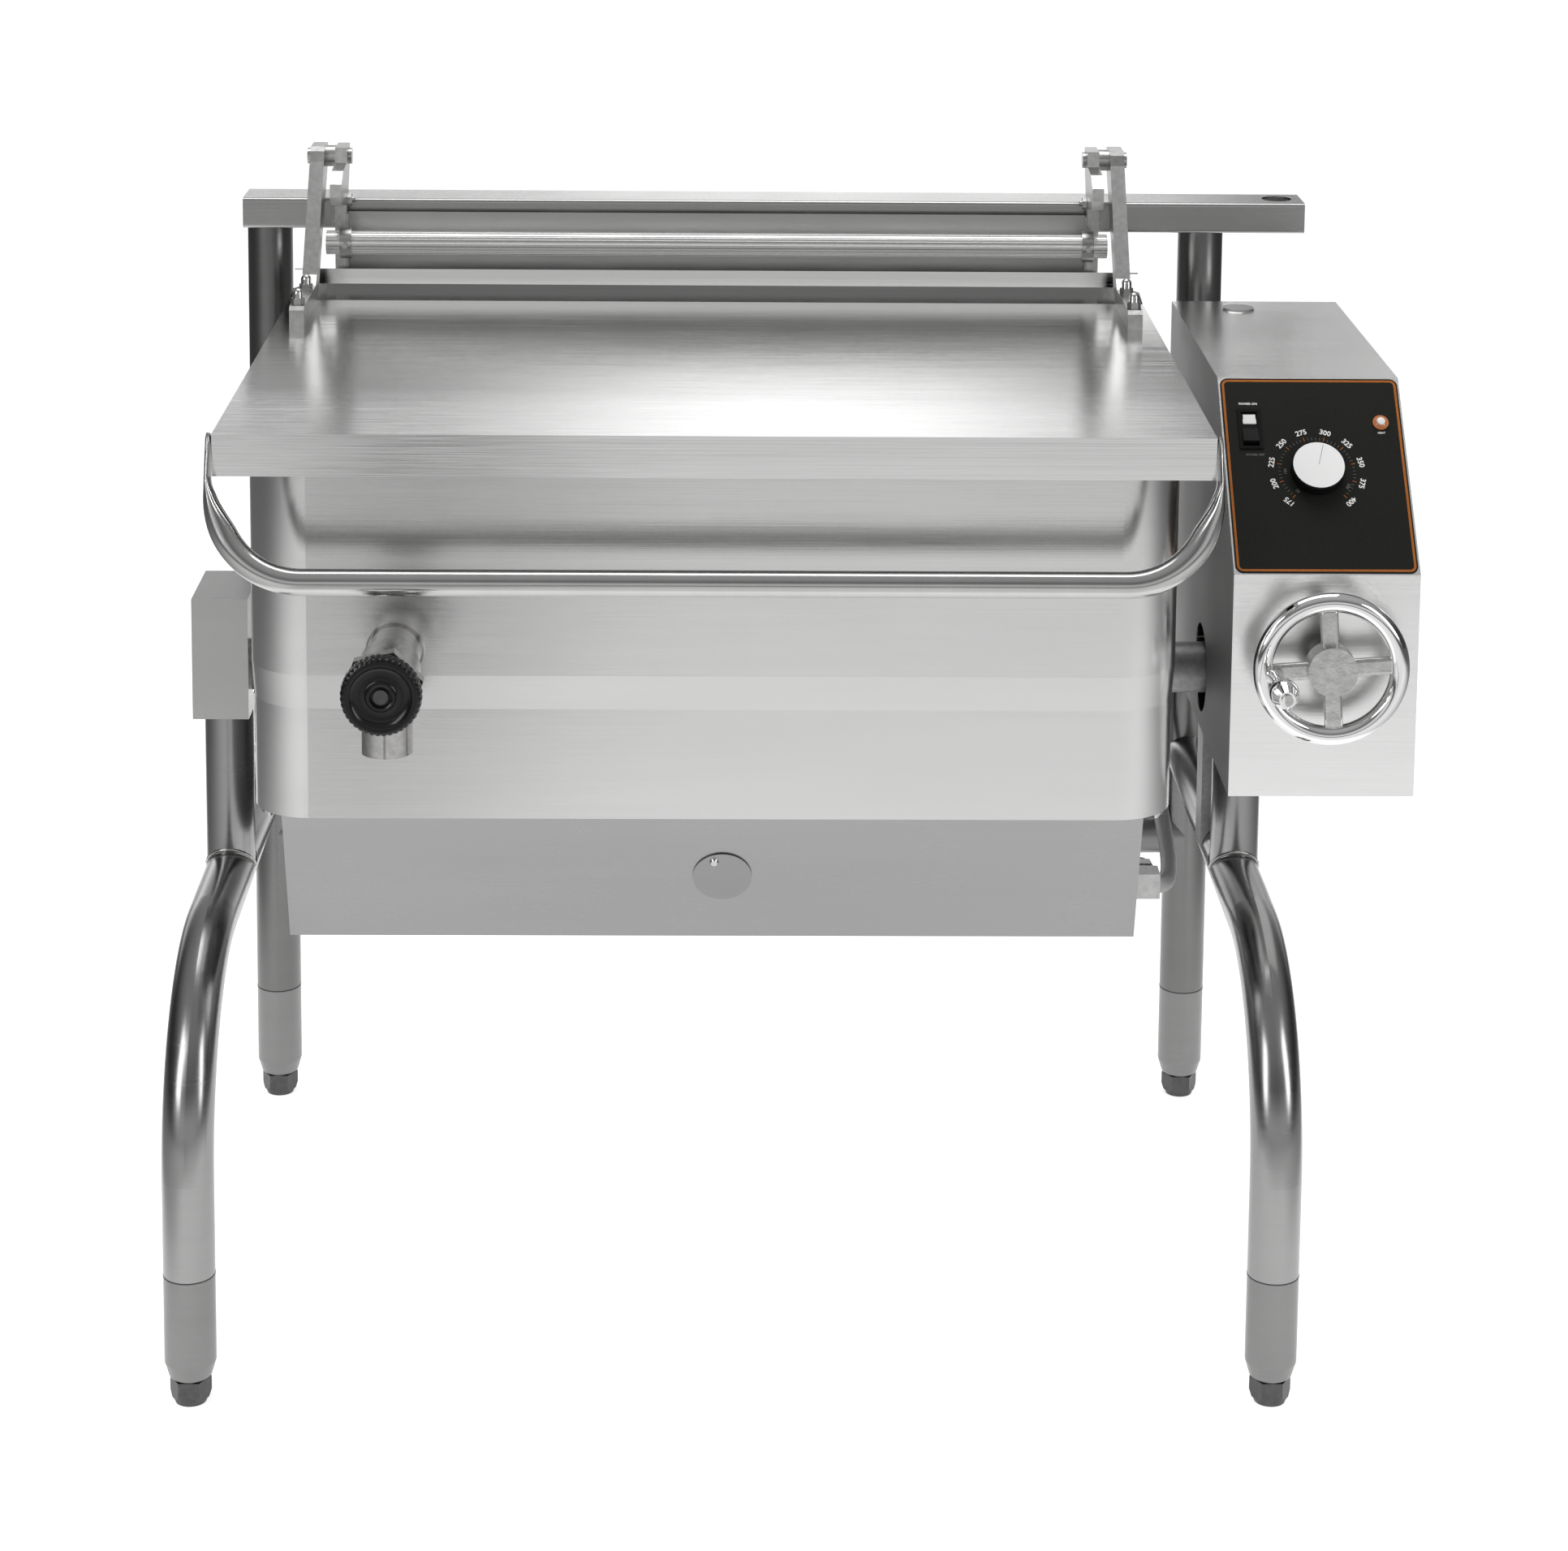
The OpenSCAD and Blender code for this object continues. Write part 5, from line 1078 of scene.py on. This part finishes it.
floor = mesh_from("floor", build_floor)
floor_material = bpy.data.materials.new("pale floor")
floor_material.use_nodes = True
tree = floor_material.node_tree
tree.nodes.clear()
path = put(tree, "ShaderNodeLightPath")
seen = maths(tree, "ADD", path.outputs["Is Camera Ray"],
             maths(tree, "ADD", path.outputs["Is Glossy Ray"], path.outputs["Is Transmission Ray"]),
             clamp=True)
spot = put(tree, "ShaderNodeTexCoord").outputs["Object"]
floor_x, floor_y, _ = put(tree, "ShaderNodeSeparateXYZ", i0=spot).outputs
beside = maths(tree, "SUBTRACT", maths(tree, "ABSOLUTE", floor_x),
               maths(tree, "MULTIPLY", maths(tree, "ADD", floor_y, LENS_Y), PAPER_WIDENS))
paper = maths(tree, "MULTIPLY", ramp(tree, beside, 0.0, 0.4, 1.0, 0.0),
              ramp(tree, floor_y, -1.7, -0.75, 0.0, 1.0))
flat_spot = put(tree, "ShaderNodeCombineXYZ", i0=floor_x, i1=floor_y).outputs[0]
reach = put(tree, "ShaderNodeVectorMath", {"operation": "DISTANCE"},
            i0=flat_spot, i1=PAINTED_POOL_AT).outputs[1]
# A painted dark strip on the left of that patch, for a painted reflection in the pan's front.
painted_gap_depth = maths(tree, "MULTIPLY", ramp(tree, floor_y, -3.4, -1.4, 1.0, 0.3),
                  ramp(tree, floor_y, -4.3, -4.0, 0.0, 1.0))
painted_gap_width = maths(tree, "MULTIPLY", ramp(tree, floor_x, -0.86, -0.74, 0.0, 1.0),
                  ramp(tree, floor_x, -0.50, -0.38, 1.0, 0.0))
painted_gap = maths(tree, "MULTIPLY", painted_gap_depth, painted_gap_width)
# The painted patch of light: the floor is paler near the spot in front of the pan and fades with
# distance, except in the dark strip.
painted_pool = maths(tree, "MULTIPLY", ramp(tree, reach, 1.4, 4.8, 0.60, 0.0),
             maths(tree, "SUBTRACT", 1.0, painted_gap))
lit = maths(tree, "MAXIMUM", paper, painted_pool)
shade = put(tree, "ShaderNodeMix", {"data_type": "RGBA"}, i0=lit,
            i6=DARK_FLOOR, i7=PALE_FLOOR).outputs[2]
paint = put(tree, "ShaderNodeBsdfDiffuse", Color=shade)
# The floor glows for camera and glossy rays: evenly on the paper, and as painted light in the patch
# in front of the pan.
glow = put(tree, "ShaderNodeEmission", Color=(1, 1, 1, 1),
           Strength=maths(tree, "MULTIPLY", seen, maths(tree, "MULTIPLY", lit, FLOOR_GLOW)))
shown = put(tree, "ShaderNodeAddShader", i0=paint.outputs[0], i1=glow.outputs[0])
put(tree, "ShaderNodeOutputMaterial", Surface=shown.outputs[0])
floor.data.materials.append(floor_material)
print("floor", 2 * FLOOR_HALF, "m wide")

# %% Sky
world = bpy.data.worlds.new("studio sky")
bpy.context.scene.world = world
world.use_nodes = True
tree = world.node_tree
tree.nodes.clear()
direction = put(tree, "ShaderNodeTexCoord").outputs["Generated"]
sky_x, sky_y, sky_z = put(tree, "ShaderNodeSeparateXYZ", i0=direction).outputs
off_middle = maths(tree, "ABSOLUTE", maths(tree, "SUBTRACT", sky_x, 0.022))
window = ramp(tree, off_middle, 0.01, 0.12, 0.95, 0.0)
side = maths(tree, "ADD", ramp(tree, sky_x, 0.128, 0.142, 0.30, 0.06),
             ramp(tree, sky_x, 0.155, 0.180, 0.0, 0.42))
horizon = maths(tree, "MULTIPLY", ramp(tree, sky_z, 0.180, 0.190, 1.3, 0.0),
                ramp(tree, sky_x, 0.12, 0.15, 1.0, 0.25))
behind = maths(tree, "MULTIPLY", ramp(tree, sky_y, 0.55, 0.95, 0.0, 1.0),
               maths(tree, "ADD", maths(tree, "MAXIMUM", window, horizon), side))
ahead_of = maths(tree, "MULTIPLY", ramp(tree, sky_y, -0.9, -0.3, 1.0, 0.0),
                 ramp(tree, sky_z, 0.15, 0.45, 0.70, 0.0))
overhead = ramp(tree, sky_z, 0.2, 0.9, 0.05, 0.42)
strength = maths(tree, "ADD", overhead, maths(tree, "ADD", ahead_of, behind))
backdrop = put(tree, "ShaderNodeBackground", Color=(1, 1, 1, 1), Strength=strength)
put(tree, "ShaderNodeOutputWorld", Surface=backdrop.outputs[0])
print("world:", world.name)


# %% Lamps
def soft_lamp(name, at, target, size, watts):
    data = bpy.data.lights.new(name, "AREA")
    data.shape = "RECTANGLE"
    data.size, data.size_y = size
    data.energy = watts
    lamp = bpy.data.objects.new(name, data)
    lamp.location = at
    lamp.rotation_euler = (Vector(target) - Vector(at)).to_track_quat("-Z", "Y").to_euler()
    bpy.context.scene.collection.objects.link(lamp)


TARGET = (PAN_X, AXIS_Y, 0.7)
soft_lamp("left lamp", (-2.6, -2.4, 2.2), TARGET, (1.2, 2.2), 42)
soft_lamp("right lamp", (2.9, -2.0, 2.0), TARGET, (0.9, 2.2), 34)
soft_lamp("top lamp", (0.0, 0.6, 3.6), TARGET, (2.4, 1.6), 36)
bpy.context.scene.view_settings.view_transform = "Standard"
